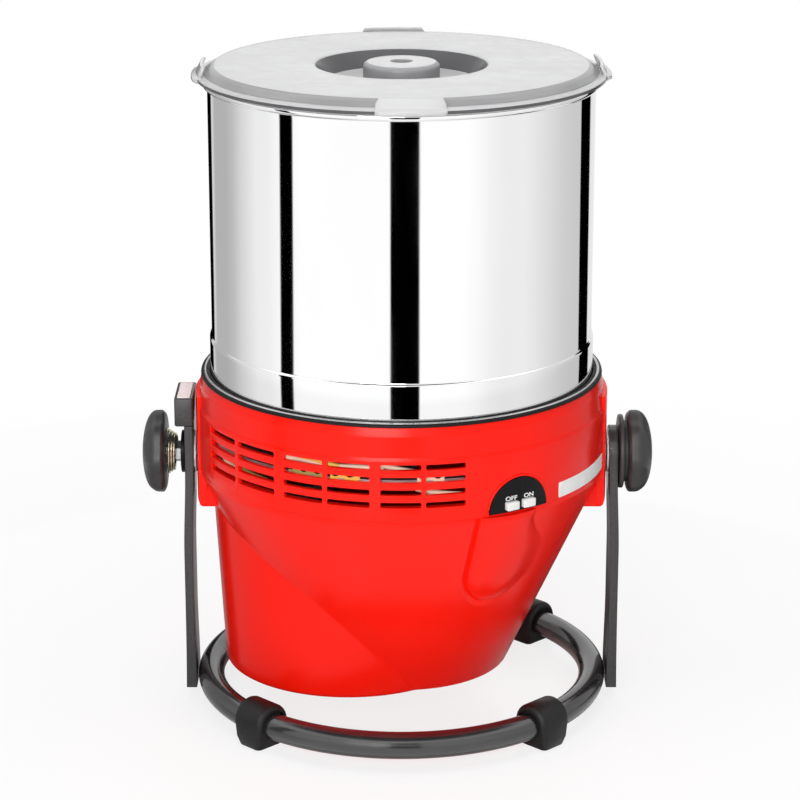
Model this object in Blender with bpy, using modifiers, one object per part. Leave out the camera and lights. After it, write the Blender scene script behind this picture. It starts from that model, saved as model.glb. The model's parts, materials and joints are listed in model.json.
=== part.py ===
"""Tilting stone grinder for chocolate: a mirror-steel drum with a granite base and two granite
rollers, turned by a belt drive in a red housing that tips forward between two uprights.

Frame: origin on the drum's axis at the table, +Z up, -Y the front with the switch, +X to the
viewer's right. All sizes are in metres.
"""

import math

import bmesh
import bpy
from mathutils import Matrix, Vector

# Fits
GAP = 0.0003                    # between pieces that seat on or in each other
RUNNING_GAP = 0.0010            # between pieces that turn past each other
OVERRUN = 0.0040                # how far a cutter runs past what it cuts
WELD = 0.00001                  # points closer than this are one point

# Stand
RING_INSET = 0.0047             # ring tube's centre line inside the collar's face
RING_TUBE_RADIUS = 0.0080
RING_SOLE = 0.0060              # rubber under the ring tube
FOOT_LENGTH = 0.0200
FOOT_HALF_WIDTH = 0.0122
FOOT_SOLE_HALF_WIDTH = 0.0105
FOOT_SOLE_EDGE = 0.0018
FOOT_RISE = 0.0135              # top of a foot above the ring's centre line
FOOT_AZIMUTH = math.radians(45)
UPRIGHT_WIDTH = 0.0320
UPRIGHT_SIDE_GAP = 0.0028       # between collar and upright
UPRIGHT_THICKNESS = 0.0052
UPRIGHT_SPLAY = 0.0024          # how far the outer face spreads down to the table
UPRIGHT_BEND_DROP = 0.0265      # bend below the pivot
UPRIGHT_BOTTOM = 0.0070
UPRIGHT_LEFT_RISE = 0.0207      # top of the left upright above the pivot
UPRIGHT_EDGE = 0.0010
PIVOT_RISE = 0.0030             # above the collar's lower edge
BLOCK_HEIGHT = 0.0182
BLOCK_WIDTH = 0.0360
BLOCK_SIDE_GAP = 0.0022         # between collar and stop block
BLOCK_OVERHANG = 0.0055         # block's outer face beyond the upright's
BLOCK_EDGE = 0.0010
PAD_THICKNESS = 0.0012
PAD_MARGIN = 0.0008

# Pivots and hand knobs
STUD_RADIUS = 0.0040
STUD_HEAD_RADIUS = 0.0075
STUD_HEAD_LENGTH = 0.0050
BUSH_RADIUS = 0.0068
THRUST_WASHER_RADIUS = 0.0130
CLAMP_WASHER_RADIUS = 0.0130
CLAMP_WASHER_THICKNESS = 0.0024
NUT_RADIUS = 0.0066
NUT_LENGTH = 0.0034
SPRING_RADIUS = 0.0115
SPRING_WIRE = 0.0013
SPRING_PITCH = 0.00175
SPRING_CURLS = 2
KNOB_RADIUS = 0.0258
KNOB_LENGTH = 0.0160
KNOB_BORE_DEPTH = 0.0090
KNOB_LOBES = 8
KNOB_FLANGE_RADIUS = 0.0225
KNOB_FLANGE_LENGTH = 0.0036
KNOB_NECK_RADIUS = 0.0185
KNOB_NECK_LENGTH = 0.0018

# Housing
WALL = 0.0030
COLLAR_HEIGHT = 0.0574
COLLAR_MOUTH_GAP = 0.0022       # round the drum's wall
COLLAR_SHOULDER_WIDTH = 0.0054
COLLAR_SHOULDER_DROP = 0.0069   # below the collar's top
COLLAR_LEDGE_DEPTH = 0.0189     # below the collar's top
COLLAR_LEDGE_DROP = 0.0020
COLLAR_LEDGE_STEP = 0.0008
COLLAR_BAND_WIDTH = 0.0016      # vent band outside the shoulder
COLLAR_LIP = 0.0026
LUG_DROP = 0.0260               # how far the pivot lugs hang below the band
LUG_HALF_WIDTH = 0.0250
LUG_TAPER = 0.0020              # each side narrower at the foot
LUG_CORNER = 0.0050
LUG_ROUND = 0.0042              # outer edge of a lug's foot
LUG_PAD_GAP = 0.0015            # room for the thrust washer
LUG_PAD_DROP = 0.0130           # pad's top below the collar's top
SPIGOT_HEIGHT = 0.0085          # tongue of the lower body inside the collar
CONE_INSET = 0.0239             # inside the band's face, CONE_DROP below the band
CONE_DROP = 0.0535
CONE_SLOPE = 0.461
CAN_SHIFT = 0.0380              # motor can's centre from the motor's axis
CAN_RADIUS = 0.0810             # radius CONE_DROP below the band
CAN_SLOPE = 0.057
CAN_DROP = 0.0160               # motor can's top below the seam
BODY_BOTTOM = 0.0268            # above the table
BODY_DEPTH = 0.1267             # from the band's lower edge down to the floor
BODY_CORNER = 0.0040
SEAL_HEIGHT = 0.0050
SEAL_GAP = 0.0004               # round the drum's skirt
FINGER_RADIUS = 0.0165          # raised finger below the switch
FINGER_RISE = 0.0035
FINGER_DROP = 0.0055            # below the band's lower edge
FINGER_LENGTH = 0.0440
FINGER_AZIMUTH = math.radians(30.0)

# Vents in the band: three groups of two columns of four slots
SLOT_HEIGHT = 0.0034
SLOT_PITCH = 0.0075
SLOT_ROWS = 4
SLOT_DROP = 0.0056              # centre of the top row below the ledge
RIB_WIDTH = 0.0028
VENT_GROUPS = (                 # first and last azimuth of each group
    (math.radians(-66.0), math.radians(-36.5)),
    (math.radians(-33.3), math.radians(-8.5)),
    (math.radians(-5.6), math.radians(17.3)),
)
FLOOR_SLOT_LENGTH = 0.0520
FLOOR_SLOT_WIDTH = 0.0030
FLOOR_SLOT_PITCH = 0.0080
FLOOR_SLOTS = 7

# Switch
SWITCH_AZIMUTH = math.radians(33.3)
SWITCH_RADIUS = 0.0200          # half-round panel
SWITCH_RISE = 0.0011            # above the band's lower edge
SWITCH_PROUD = 0.0010
SWITCH_BODY_DEPTH = 0.0240
SWITCH_BODY_HEIGHT = 0.0130
SWITCH_BODY_WALL = 0.0012
SWITCH_BODY_SETBACK = 0.0014    # behind the wall's inner face, to clear its curve
KEY_WIDTH = 0.0092
KEY_HEIGHT = 0.0056
KEY_PROUD = 0.0030
KEY_DEPTH = 0.0110
KEY_TRAVEL = 0.0025
KEY_OFFSET = 0.0056             # key centres either side of the panel's centre line
KEY_BOTTOM = 0.0014             # above the panel's flat edge

# Cord gland on the back
GLAND_AZIMUTH = math.radians(180)
GLAND_RISE = 0.0145             # above the band's lower edge
GLAND_RADIUS = 0.0058
GLAND_FLANGE_RADIUS = 0.0085
GLAND_FLANGE = 0.0022
GLAND_BORE_RADIUS = 0.0034

# Drive
CHASSIS_RISE = 0.0205           # above the band's lower edge
CHASSIS_THICKNESS = 0.0040
CHASSIS_HUB_RADIUS = 0.0150
CHASSIS_HUB_DROP = 0.0160
CHASSIS_HUB_RISE = 0.0030
CHASSIS_WINDOW_INNER = 0.0450
CHASSIS_RIM_WIDTH = 0.0179
CHASSIS_WINDOWS = tuple((math.radians(first), math.radians(first + 35))
                        for first in (50, 95, 230, 275))
BRACKET_INSET = 0.0072          # inside the collar's wall
BRACKET_THICKNESS = 0.0040
BRACKET_WIDTH = 0.0360
BRACKET_DROP = 0.0125           # below the pivot
MOTOR_INSET = 0.0532            # motor's axis inside the collar's face
STATOR_SIDE = 0.0600
STATOR_CORNER = 0.0090
STATOR_DROP = 0.0300            # top of the stator below the chassis
STATOR_HEIGHT = 0.0400
ROTOR_RADIUS = 0.0200
WINDING_RADIUS = 0.0290
WINDING_HEIGHT = 0.0240
MOTOR_SHAFT_RADIUS = 0.0040
MOTOR_SHAFT_DROP = 0.0160       # below the end shield
MOTOR_STUD_RADIUS = 0.0022
MOTOR_STUD_INSET = 0.0060
SHIELD_THICKNESS = 0.0040
SHIELD_DROP = 0.0300            # below the stator
FAN_RADIUS = 0.0300
FAN_HUB_RADIUS = 0.0080
FAN_HEIGHT = 0.0100
FAN_PLATE = 0.0016
FAN_BLADES = 7
FAN_INSET = 0.0010              # above the shaft's end
SMALL_PULLEY_RADIUS = 0.0080
PULLEY_SPACING = 0.0180         # large pulley's rim from the motor's axis
PULLEY_FLANGE = 0.0022
PULLEY_FLANGE_WIDTH = 0.0015
BELT_WIDTH = 0.0066
BELT_THICKNESS = 0.0030
BELT_RISE = 0.0068              # above the chassis
PULLEY_HUB_RADIUS = 0.0200
PULLEY_WEB = 0.0040
PULLEY_RIM = 0.0050
BEARING_RADIUS = 0.0140
BEARING_HEIGHT = 0.0150
CENTRE_SHAFT_RADIUS = 0.0060
CENTRE_SHAFT_INSET = 0.0084     # below the knob's top
CENTRE_SHAFT_STEP = 0.0020      # from the shaft down to its thread

# Drum
DRUM_RADIUS = 0.1140
DRUM_SHEET = 0.0011
DRUM_SKIRT_HEIGHT = 0.0347
DRUM_STEP = 0.0012
DRUM_SINK = 0.0129              # drum's foot below the collar's top
DRUM_FLOOR_RISE = 0.0035        # above the drum's foot
DRUM_CORNER = 0.0030
BEAD_RADIUS = 0.0024
BEAD_OFFSET = 0.0006            # bead's centre outside the drum's wall
DRUM_HEIGHT = 0.1878            # from the foot to the bead's centre
BASE_THICKNESS = 0.0250
BASE_CHAMFER = 0.0015
PILLAR_RADIUS = 0.0160
PILLAR_FLANGE_WIDTH = 0.0030
PILLAR_FLANGE = 0.0060
SOCKET_WALL = 0.0060

# Rollers and their holder
ROLLER_RADIUS = 0.0430
ROLLER_INNER_GAP = 0.0040       # between holder pad and roller
ROLLER_OUTER_GAP = 0.0260       # between roller and the drum's outer face
ROLLER_CHAMFER = 0.0020
AXLE_RADIUS = 0.0060
AXLE_HEAD_RADIUS = 0.0100
AXLE_HEAD = 0.0035
ROLLER_BUSH_WALL = 0.0037
HOLDER_WALL = 0.0080            # outside the pillar
HOLDER_DROP = 0.0152            # below the rollers' axis
HOLDER_RISE = 0.0468            # shoulder above the rollers' axis
HOLDER_NECK_WALL = 0.0050       # outside the centre shaft
HOLDER_SLOPE = 0.0120           # height of the slope above the shoulder
HOLDER_NECK_LENGTH = 0.0160
HOLDER_PAD_LENGTH = 0.0030
HOLDER_PAD_RADIUS = 0.0110
HOLDER_CROWN = 0.0040
SCRAPER_WIDTH = 0.0180
SCRAPER_BLADE = 0.0035
SCRAPER_ARM_WIDTH = 0.0120
SCRAPER_ARM_THICKNESS = 0.0060
SCRAPER_ARM_DROP = 0.0160       # below the holder's shoulder
SCRAPER_WALL_GAP = 0.0018
TENSION_SPRING_GAP = 0.0038     # wire's centre line outside the thread
TENSION_SPRING_WIRE = 0.0018
TENSION_SPRING_CURLS = 5
TENSION_KNOB_RADIUS = 0.0225
TENSION_KNOB_HEIGHT = 0.0140
TENSION_KNOB_RISE = 0.0010      # above the lid's disc
TENSION_KNOB_DIMPLE_RADIUS = 0.0062
TENSION_KNOB_DIMPLE = 0.0030

# Lid
LID_OVERHANG = 0.0062           # beyond the drum's wall
LID_SHEET = 0.0017
LID_DISC_INSET = 0.0028         # disc's foot inside the drum's wall
LID_DISC_DRAFT = 0.0014
LID_DISC_RISE = 0.0052
LID_HOLE_RADIUS = 0.0510
LID_HOLE_FLARE = 0.0060
LID_WELL_DEPTH = 0.0110
LID_EDGE = 0.0012
LID_TURN = math.radians(2.5)
TAB_HALF_ANGLE = math.radians(9.4)
TAB_RISE = 0.0066
TAB_LEAN = 0.0035
TAB_THICKNESS = 0.0022
TAB_REACH = 0.0030
TAB_LIP = 0.0028

# Facets
FINE = 40
ROUND = 28
MEDIUM = 20
SMALL = 12
SLIM = 10
KNOB_FACETS = 32
FILLET_STEPS = 1
SMOOTH_ANGLE = math.radians(35)

# Colours: red, green, blue, roughness, metallic
COLOURS = {
    "red_housing": (0.83, 0.035, 0.018, 0.18, 0.0),
    "dark_coating": (0.060, 0.058, 0.060, 0.55, 0.0),
    "rubber": (0.035, 0.035, 0.036, 0.75, 0.0),
    "pale_pad": (0.80, 0.74, 0.74, 0.50, 0.0),
    "mirror_steel": (0.80, 0.80, 0.80, 0.04, 1.0),
    "steel": (0.55, 0.55, 0.56, 0.30, 1.0),
    "yellow_zinc": (0.62, 0.52, 0.22, 0.35, 1.0),
    "knob_grey": (0.075, 0.072, 0.074, 0.45, 0.0),
    "black_plastic": (0.010, 0.010, 0.011, 0.40, 0.0),
    "white_plastic": (0.80, 0.80, 0.80, 0.35, 0.0),
    "clear_plastic": (0.86, 0.86, 0.87, 0.12, 0.0),
    "granite": (0.16, 0.16, 0.17, 0.60, 0.0),
    "cast_aluminium": (0.50, 0.50, 0.51, 0.45, 1.0),
    "copper": (0.72, 0.33, 0.12, 0.35, 1.0),
    "laminations": (0.30, 0.30, 0.32, 0.50, 1.0),
    "belt": (0.02, 0.02, 0.02, 0.70, 0.0),
    "acetal": (0.72, 0.72, 0.70, 0.40, 0.0),
}

ALONG_X = Matrix.Rotation(math.radians(90), 4, "Y")
ALONG_MINUS_X = Matrix.Rotation(math.radians(-90), 4, "Y")
FACING_X = Matrix(((0, 0, 1, 0), (1, 0, 0, 0), (0, 1, 0, 0), (0, 0, 0, 1)))


def clear_scene():
    """Remove every object that the opened scene holds."""
    for obj in list(bpy.data.objects):
        bpy.data.objects.remove(obj, do_unlink=True)


def new_collection(name):
    collection = bpy.data.collections.new(name)
    bpy.context.scene.collection.children.link(collection)
    return collection


def material(name):
    """The Principled material of that name, made once."""
    made = bpy.data.materials.get(name)
    if made:
        return made
    made = bpy.data.materials.new(name)
    made.use_nodes = True
    red, green, blue, roughness, metallic = COLOURS[name]
    shader = made.node_tree.nodes["Principled BSDF"]
    shader.inputs["Base Color"].default_value = (red, green, blue, 1)
    shader.inputs["Roughness"].default_value = roughness
    shader.inputs["Metallic"].default_value = metallic
    made.diffuse_color = (red, green, blue, 1)
    return made


def link(name, data, finish, matrix=None):
    """Put a mesh or curve into the model, or into the cutters where finish is None."""
    obj = bpy.data.objects.new(name, data)
    obj.matrix_world = matrix or Matrix.Identity(4)
    if finish is None:
        CUTTERS.objects.link(obj)
        obj.hide_render = True
        obj.display_type = "WIRE"
        return obj
    MODEL.objects.link(obj)
    data.materials.append(material(finish))
    if isinstance(data, bpy.types.Mesh):
        smooth(data)
    return obj


def smooth(mesh):
    mesh.shade_smooth()
    mesh.set_sharp_from_angle(angle=SMOOTH_ANGLE)


def arc(centre, radius, first, last, steps):
    """Points on an arc about a 2-D centre."""
    points = []
    for step in range(steps + 1):
        angle = first + (last - first) * step / steps
        x = centre[0] + radius * math.cos(angle)
        y = centre[1] + radius * math.sin(angle)
        points.append((x, y))
    return points


def filleted(corners, closed=True, steps=FILLET_STEPS):
    """Round the corners of an outline given as (x, y, radius)."""
    points = []
    count = len(corners)
    for index, (x, y, radius) in enumerate(corners):
        corner = Vector((x, y))
        is_end = not closed and index in (0, count - 1)
        if radius == 0 or is_end:
            points.append((x, y))
            continue
        before = Vector(corners[index - 1][:2]) - corner
        after = Vector(corners[(index + 1) % count][:2]) - corner
        half = before.angle(after) / 2
        room = min(before.length, after.length) / 2
        reach = min(radius / math.tan(half), room)
        true_radius = reach * math.tan(half)
        start = corner + before.normalized() * reach
        bisector = (before.normalized() + after.normalized()).normalized()
        centre = corner + bisector * true_radius / math.sin(half)
        swing = (corner + after.normalized() * reach - centre).angle_signed(start - centre)
        first = math.atan2(start.y - centre.y, start.x - centre.x)
        points += arc(centre, true_radius, first, first + swing, steps)
    return points


def signed_area(points):
    total = 0
    for (ax, ay), (bx, by) in zip(points, points[1:] + points[:1]):
        total += ax * by - bx * ay
    return total / 2


def turned(name, profile, finish, steps=ROUND, matrix=None):
    """Turn a profile of (radius, height) about Z with a Screw modifier."""
    points = list(profile)
    if signed_area(points) > 0:
        points.reverse()
    on_axis = [index for index, point in enumerate(points) if point[0] == 0]
    if on_axis:
        # The profile is opened between its two points on the axis.
        first = next(i for i in on_axis if points[i - 1][0] == 0)
        points = points[first:] + points[:first]
    edges = [(index, index + 1) for index in range(len(points) - 1)]
    if not on_axis:
        edges.append((len(points) - 1, 0))
    mesh = bpy.data.meshes.new(name)
    mesh.from_pydata([(radius, 0, height) for radius, height in points], edges, [])
    obj = link(name, mesh, finish, matrix)
    screw = obj.modifiers.new("turn", "SCREW")
    screw.axis = "Z"
    screw.angle = math.radians(360)
    screw.steps = steps
    screw.render_steps = steps
    screw.use_merge_vertices = True
    screw.merge_threshold = WELD
    screw.use_smooth_shade = True
    return obj


def bar(name, radius, low, high, finish, steps=SMALL, matrix=None, edge=0):
    """A plain round bar along Z, its edges rounded by edge."""
    shape = bmesh.new()
    quarter_turn = Matrix.Rotation(math.radians(90), 4, "Z")
    middle = Matrix.Translation((0, 0, (low + high) / 2))
    bmesh.ops.create_cone(shape, cap_ends=True, segments=steps, radius1=radius, radius2=radius,
                          depth=high - low, matrix=middle @ quarter_turn)
    mesh = bpy.data.meshes.new(name)
    shape.to_mesh(mesh)
    shape.free()
    obj = link(name, mesh, finish, matrix)
    if edge:
        bevel = obj.modifiers.new("round_edges", "BEVEL")
        bevel.width = edge
        bevel.segments = 2
    return obj


def drill(name, radius, low, high, steps=SMALL, matrix=None):
    """A round cutter along Z, turned half a facet so that its edges cross no other's."""
    half_facet = Matrix.Rotation(math.pi / steps, 4, "Z")
    return bar(name, radius, low, high, None, steps, (matrix or Matrix.Identity(4)) @ half_facet)


def sleeve(name, inner, outer, low, high, finish, steps=SMALL, matrix=None, edge=0):
    """A round tube along Z."""
    corners = [(inner, low, 0), (outer, low, edge), (outer, high, edge), (inner, high, 0)]
    return turned(name, filleted(corners), finish, steps, matrix)


def box(name, low, high, finish, edge=0, matrix=None):
    """A box from its lowest to its highest corner, its edges rounded by edge."""
    shape = bmesh.new()
    bmesh.ops.create_cube(shape, size=1)
    size = Vector(high) - Vector(low)
    middle = (Vector(high) + Vector(low)) / 2
    bmesh.ops.scale(shape, vec=size, verts=shape.verts)
    bmesh.ops.translate(shape, vec=middle, verts=shape.verts)
    mesh = bpy.data.meshes.new(name)
    shape.to_mesh(mesh)
    shape.free()
    obj = link(name, mesh, finish, matrix)
    if edge:
        bevel = obj.modifiers.new("round_edges", "BEVEL")
        bevel.width = edge
        bevel.segments = 2
    return obj


def welded(obj):
    """Turn a curve object into a mesh object with its caps welded on."""
    graph = bpy.context.evaluated_depsgraph_get()
    graph.update()
    mesh = bpy.data.meshes.new_from_object(obj.evaluated_get(graph))
    shape = bmesh.new()
    shape.from_mesh(mesh)
    bmesh.ops.remove_doubles(shape, verts=shape.verts, dist=WELD)
    bmesh.ops.recalc_face_normals(shape, faces=shape.faces)
    shape.to_mesh(mesh)
    shape.free()
    matrix = obj.matrix_world.copy()
    name = obj.name
    collection = obj.users_collection[0]
    bpy.data.objects.remove(obj, do_unlink=True)
    made = bpy.data.objects.new(name, mesh)
    made.matrix_world = matrix
    collection.objects.link(made)
    if collection == CUTTERS:
        made.hide_render = True
        made.display_type = "WIRE"
    else:
        smooth(mesh)
    return made


def plate(name, outlines, thickness, finish, matrix=None):
    """Extrude flat outlines, the first the rim and the others its holes, about Z = 0."""
    curve = bpy.data.curves.new(name, "CURVE")
    curve.dimensions = "2D"
    curve.fill_mode = "BOTH"
    curve.extrude = thickness / 2
    for outline in outlines:
        spline = curve.splines.new("POLY")
        spline.points.add(len(outline) - 1)
        for point, (x, y) in zip(spline.points, outline):
            point.co = (x, y, 0, 1)
        spline.use_cyclic_u = True
    return welded(link(name, curve, finish, matrix))


def coil(name, radius, wire, curls, pitch, finish, matrix):
    """An open compression spring along Z, one unbroken tube with short straight ends."""
    per_curl = 8
    points = []
    total = round(curls * per_curl)
    for step in range(total + 1):
        angle = 2 * math.pi * step / per_curl
        height = pitch * step / per_curl
        points.append((radius * math.cos(angle), radius * math.sin(angle), height))
    first = Vector(points[0]) - (Vector(points[1]) - Vector(points[0])).normalized() * wire
    last = Vector(points[-1]) + (Vector(points[-1]) - Vector(points[-2])).normalized() * wire
    points = [tuple(first)] + points + [tuple(last)]
    curve = bpy.data.curves.new(name, "CURVE")
    curve.dimensions = "3D"
    curve.bevel_depth = wire / 2
    curve.bevel_resolution = 1
    curve.use_fill_caps = True
    spline = curve.splines.new("POLY")
    spline.points.add(len(points) - 1)
    for point, place in zip(spline.points, points):
        point.co = (*place, 1)
    print(name, "least gap to itself, mm:", round((self_gap(points, per_curl) - wire) * 1000, 3))
    return welded(link(name, curve, finish, matrix))


def self_gap(points, per_curl):
    """Least distance between centre-line points that lie half a curl or more apart."""
    least = math.inf
    for index, point in enumerate(points):
        for other in points[index + per_curl // 2:]:
            least = min(least, (Vector(point) - Vector(other)).length)
    return least


def loft(name, rings, finish, matrix=None):
    """Skin closed rings of points, all of one count, and cap both ends."""
    shape = bmesh.new()
    rows = [[shape.verts.new(point) for point in ring] for ring in rings]
    count = len(rings[0])
    for row, after in zip(rows, rows[1:]):
        for index in range(count):
            following = (index + 1) % count
            shape.faces.new((row[index], row[following], after[following], after[index]))
    shape.faces.new(rows[0][::-1])
    shape.faces.new(rows[-1])
    bmesh.ops.recalc_face_normals(shape, faces=shape.faces)
    mesh = bpy.data.meshes.new(name)
    shape.to_mesh(mesh)
    shape.free()
    return link(name, mesh, finish, matrix)


def combine(obj, other, operation="DIFFERENCE", solver="EXACT"):
    boolean = obj.modifiers.new(operation.lower(), "BOOLEAN")
    boolean.operation = operation
    boolean.solver = solver
    boolean.object = other
    return obj


def facing(azimuth, radius, height):
    """Frame on the housing's side: x along the wall, y up, z outward. Azimuth 0 is the front."""
    sine, cosine = math.sin(azimuth), math.cos(azimuth)
    turn = Matrix(((cosine, 0, sine, 0), (sine, 0, -cosine, 0), (0, 1, 0, 0), (0, 0, 0, 1)))
    return Matrix.Translation((radius * sine, -radius * cosine, height)) @ turn


def cone_radius(height):
    return CONE_RADIUS + CONE_SLOPE * (height - CONE_HEIGHT)


def can_radius(height):
    return CAN_RADIUS + CAN_SLOPE * (height - CONE_HEIGHT)


def at_pivot(matrix):
    return Matrix.Translation((0, 0, PIVOT_HEIGHT)) @ matrix


# Sizes that follow from the ones above

COLLAR_MOUTH_RADIUS = DRUM_RADIUS + COLLAR_MOUTH_GAP
COLLAR_SHOULDER_RADIUS = COLLAR_MOUTH_RADIUS + COLLAR_SHOULDER_WIDTH
COLLAR_RADIUS = COLLAR_SHOULDER_RADIUS + COLLAR_BAND_WIDTH
COLLAR_INNER_RADIUS = COLLAR_RADIUS - WALL
COLLAR_BOTTOM = BODY_BOTTOM + BODY_DEPTH
COLLAR_TOP = COLLAR_BOTTOM + COLLAR_HEIGHT
COLLAR_SHOULDER_HEIGHT = COLLAR_TOP - COLLAR_SHOULDER_DROP
COLLAR_LEDGE_HEIGHT = COLLAR_TOP - COLLAR_LEDGE_DEPTH
PIVOT_HEIGHT = COLLAR_BOTTOM + PIVOT_RISE
SLOT_TOP = COLLAR_LEDGE_HEIGHT - SLOT_DROP
SWITCH_BOTTOM = COLLAR_BOTTOM + SWITCH_RISE
GLAND_HEIGHT = COLLAR_BOTTOM + GLAND_RISE
FINGER_TOP = COLLAR_BOTTOM - FINGER_DROP
FINGER_BOTTOM = FINGER_TOP - FINGER_LENGTH
CONE_RADIUS = COLLAR_RADIUS - CONE_INSET
CONE_HEIGHT = COLLAR_BOTTOM - CONE_DROP
RING_RADIUS = COLLAR_RADIUS - RING_INSET
RING_HEIGHT = RING_TUBE_RADIUS + RING_SOLE
FOOT_TOP = RING_HEIGHT + FOOT_RISE
UPRIGHT_INNER = COLLAR_RADIUS + UPRIGHT_SIDE_GAP
UPRIGHT_OUTER = UPRIGHT_INNER + UPRIGHT_THICKNESS
UPRIGHT_BEND_HEIGHT = PIVOT_HEIGHT - UPRIGHT_BEND_DROP
UPRIGHT_LEFT_TOP = PIVOT_HEIGHT + UPRIGHT_LEFT_RISE
BLOCK_INNER = COLLAR_RADIUS + BLOCK_SIDE_GAP
BLOCK_OUTER = UPRIGHT_OUTER + BLOCK_OVERHANG
BLOCK_BOTTOM = UPRIGHT_LEFT_TOP + GAP
LUG_PAD_REACH = UPRIGHT_INNER - LUG_PAD_GAP
LUG_PAD_TOP = COLLAR_TOP - LUG_PAD_DROP
LUG_FOOT = COLLAR_BOTTOM - LUG_DROP
LUG_PAD_HALF_ANGLE = math.asin((LUG_HALF_WIDTH - LUG_TAPER) / LUG_PAD_REACH)
CHASSIS_HEIGHT = COLLAR_BOTTOM + CHASSIS_RISE
CHASSIS_RADIUS = COLLAR_INNER_RADIUS - GAP
CHASSIS_TOP = CHASSIS_HEIGHT + CHASSIS_THICKNESS
CHASSIS_WINDOW_OUTER = CHASSIS_RADIUS - CHASSIS_RIM_WIDTH
BRACKET_REACH = COLLAR_INNER_RADIUS - BRACKET_INSET
BRACKET_BOTTOM = PIVOT_HEIGHT - BRACKET_DROP
MOTOR_X = MOTOR_INSET - COLLAR_RADIUS
CAN_CENTRE_X = MOTOR_X + CAN_SHIFT
STATOR_BOTTOM = CHASSIS_HEIGHT - STATOR_DROP - STATOR_HEIGHT
SHIELD_HEIGHT = STATOR_BOTTOM - SHIELD_DROP
MOTOR_SHAFT_BOTTOM = SHIELD_HEIGHT - MOTOR_SHAFT_DROP
FAN_BOTTOM = MOTOR_SHAFT_BOTTOM + FAN_INSET
LARGE_PULLEY_RADIUS = -MOTOR_X - PULLEY_SPACING
BELT_BOTTOM = CHASSIS_TOP + BELT_RISE
BELT_TOP = BELT_BOTTOM + BELT_WIDTH
PULLEY_LOW = BELT_BOTTOM - GAP - PULLEY_FLANGE_WIDTH
PULLEY_HIGH = BELT_TOP + GAP + PULLEY_FLANGE_WIDTH
BEARING_BOTTOM = CHASSIS_TOP + CHASSIS_HUB_RISE + GAP
DRUM_SKIRT_RADIUS = DRUM_RADIUS + DRUM_STEP
DRUM_BOTTOM = COLLAR_TOP - DRUM_SINK
DRUM_FLOOR = DRUM_BOTTOM + DRUM_FLOOR_RISE
DRUM_STEP_HEIGHT = DRUM_BOTTOM + DRUM_SKIRT_HEIGHT
BEAD_CENTRE_RADIUS = DRUM_RADIUS + BEAD_OFFSET
BEAD_HEIGHT = DRUM_BOTTOM + DRUM_HEIGHT
SEAL_INNER_RADIUS = DRUM_SKIRT_RADIUS + SEAL_GAP
PULLEY_HUB_TOP = DRUM_FLOOR - GAP
BASE_BOTTOM = DRUM_FLOOR + DRUM_SHEET + GAP
BASE_TOP = BASE_BOTTOM + BASE_THICKNESS
ROLLER_HEIGHT = BASE_TOP + GAP + ROLLER_RADIUS
PILLAR_FLANGE_RADIUS = PILLAR_RADIUS + PILLAR_FLANGE_WIDTH
HOLDER_RADIUS = PILLAR_RADIUS + HOLDER_WALL
HOLDER_PAD_REACH = HOLDER_RADIUS + HOLDER_PAD_LENGTH
HOLDER_BOTTOM = ROLLER_HEIGHT - HOLDER_DROP
HOLDER_SHOULDER = ROLLER_HEIGHT + HOLDER_RISE
HOLDER_NECK_RADIUS = CENTRE_SHAFT_RADIUS + HOLDER_NECK_WALL
HOLDER_NECK_HEIGHT = HOLDER_SHOULDER + HOLDER_SLOPE
HOLDER_TOP = HOLDER_NECK_HEIGHT + HOLDER_NECK_LENGTH
PILLAR_TOP = HOLDER_SHOULDER
ROLLER_INNER = HOLDER_PAD_REACH + ROLLER_INNER_GAP
ROLLER_OUTER = DRUM_RADIUS - ROLLER_OUTER_GAP
SCRAPER_ARM_HEIGHT = HOLDER_SHOULDER - SCRAPER_ARM_DROP
LEFT_WASHER_START = UPRIGHT_OUTER + GAP
LEFT_NUT_START = LEFT_WASHER_START + CLAMP_WASHER_THICKNESS + GAP
LEFT_SPRING_START = LEFT_NUT_START + NUT_LENGTH + GAP
SPRING_LENGTH = SPRING_PITCH * SPRING_CURLS + SPRING_WIRE
LEFT_KNOB_START = LEFT_SPRING_START + SPRING_LENGTH + 2 * GAP
RIGHT_KNOB_START = UPRIGHT_OUTER + GAP
RIGHT_KNOB_BODY = RIGHT_KNOB_START + KNOB_FLANGE_LENGTH + KNOB_NECK_LENGTH
LID_BOTTOM = BEAD_HEIGHT + BEAD_RADIUS + GAP
LID_FLANGE_TOP = LID_BOTTOM + LID_SHEET
LID_TOP = LID_FLANGE_TOP + LID_DISC_RISE
LID_RADIUS = DRUM_RADIUS + LID_OVERHANG
LID_DISC_FOOT_RADIUS = DRUM_RADIUS - LID_DISC_INSET
LID_DISC_RADIUS = LID_DISC_FOOT_RADIUS - LID_DISC_DRAFT
LID_HOLE_FOOT_RADIUS = LID_HOLE_RADIUS - LID_HOLE_FLARE
TENSION_KNOB_TOP = LID_TOP + TENSION_KNOB_RISE
TENSION_KNOB_BOTTOM = TENSION_KNOB_TOP - TENSION_KNOB_HEIGHT
CENTRE_SHAFT_TOP = TENSION_KNOB_TOP - CENTRE_SHAFT_INSET
CENTRE_THREAD_RADIUS = CENTRE_SHAFT_RADIUS - CENTRE_SHAFT_STEP
TENSION_SPRING_RADIUS = CENTRE_THREAD_RADIUS + TENSION_SPRING_GAP


def make_ring():
    bpy.ops.mesh.primitive_torus_add(
        major_radius=RING_RADIUS, minor_radius=RING_TUBE_RADIUS,
        major_segments=FINE, minor_segments=10, location=(0, 0, RING_HEIGHT))
    ring = bpy.context.object
    ring.name = "stand_ring"
    ring.data.materials.append(material("dark_coating"))
    ring.users_collection[0].objects.unlink(ring)
    MODEL.objects.link(ring)
    smooth(ring.data)


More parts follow.
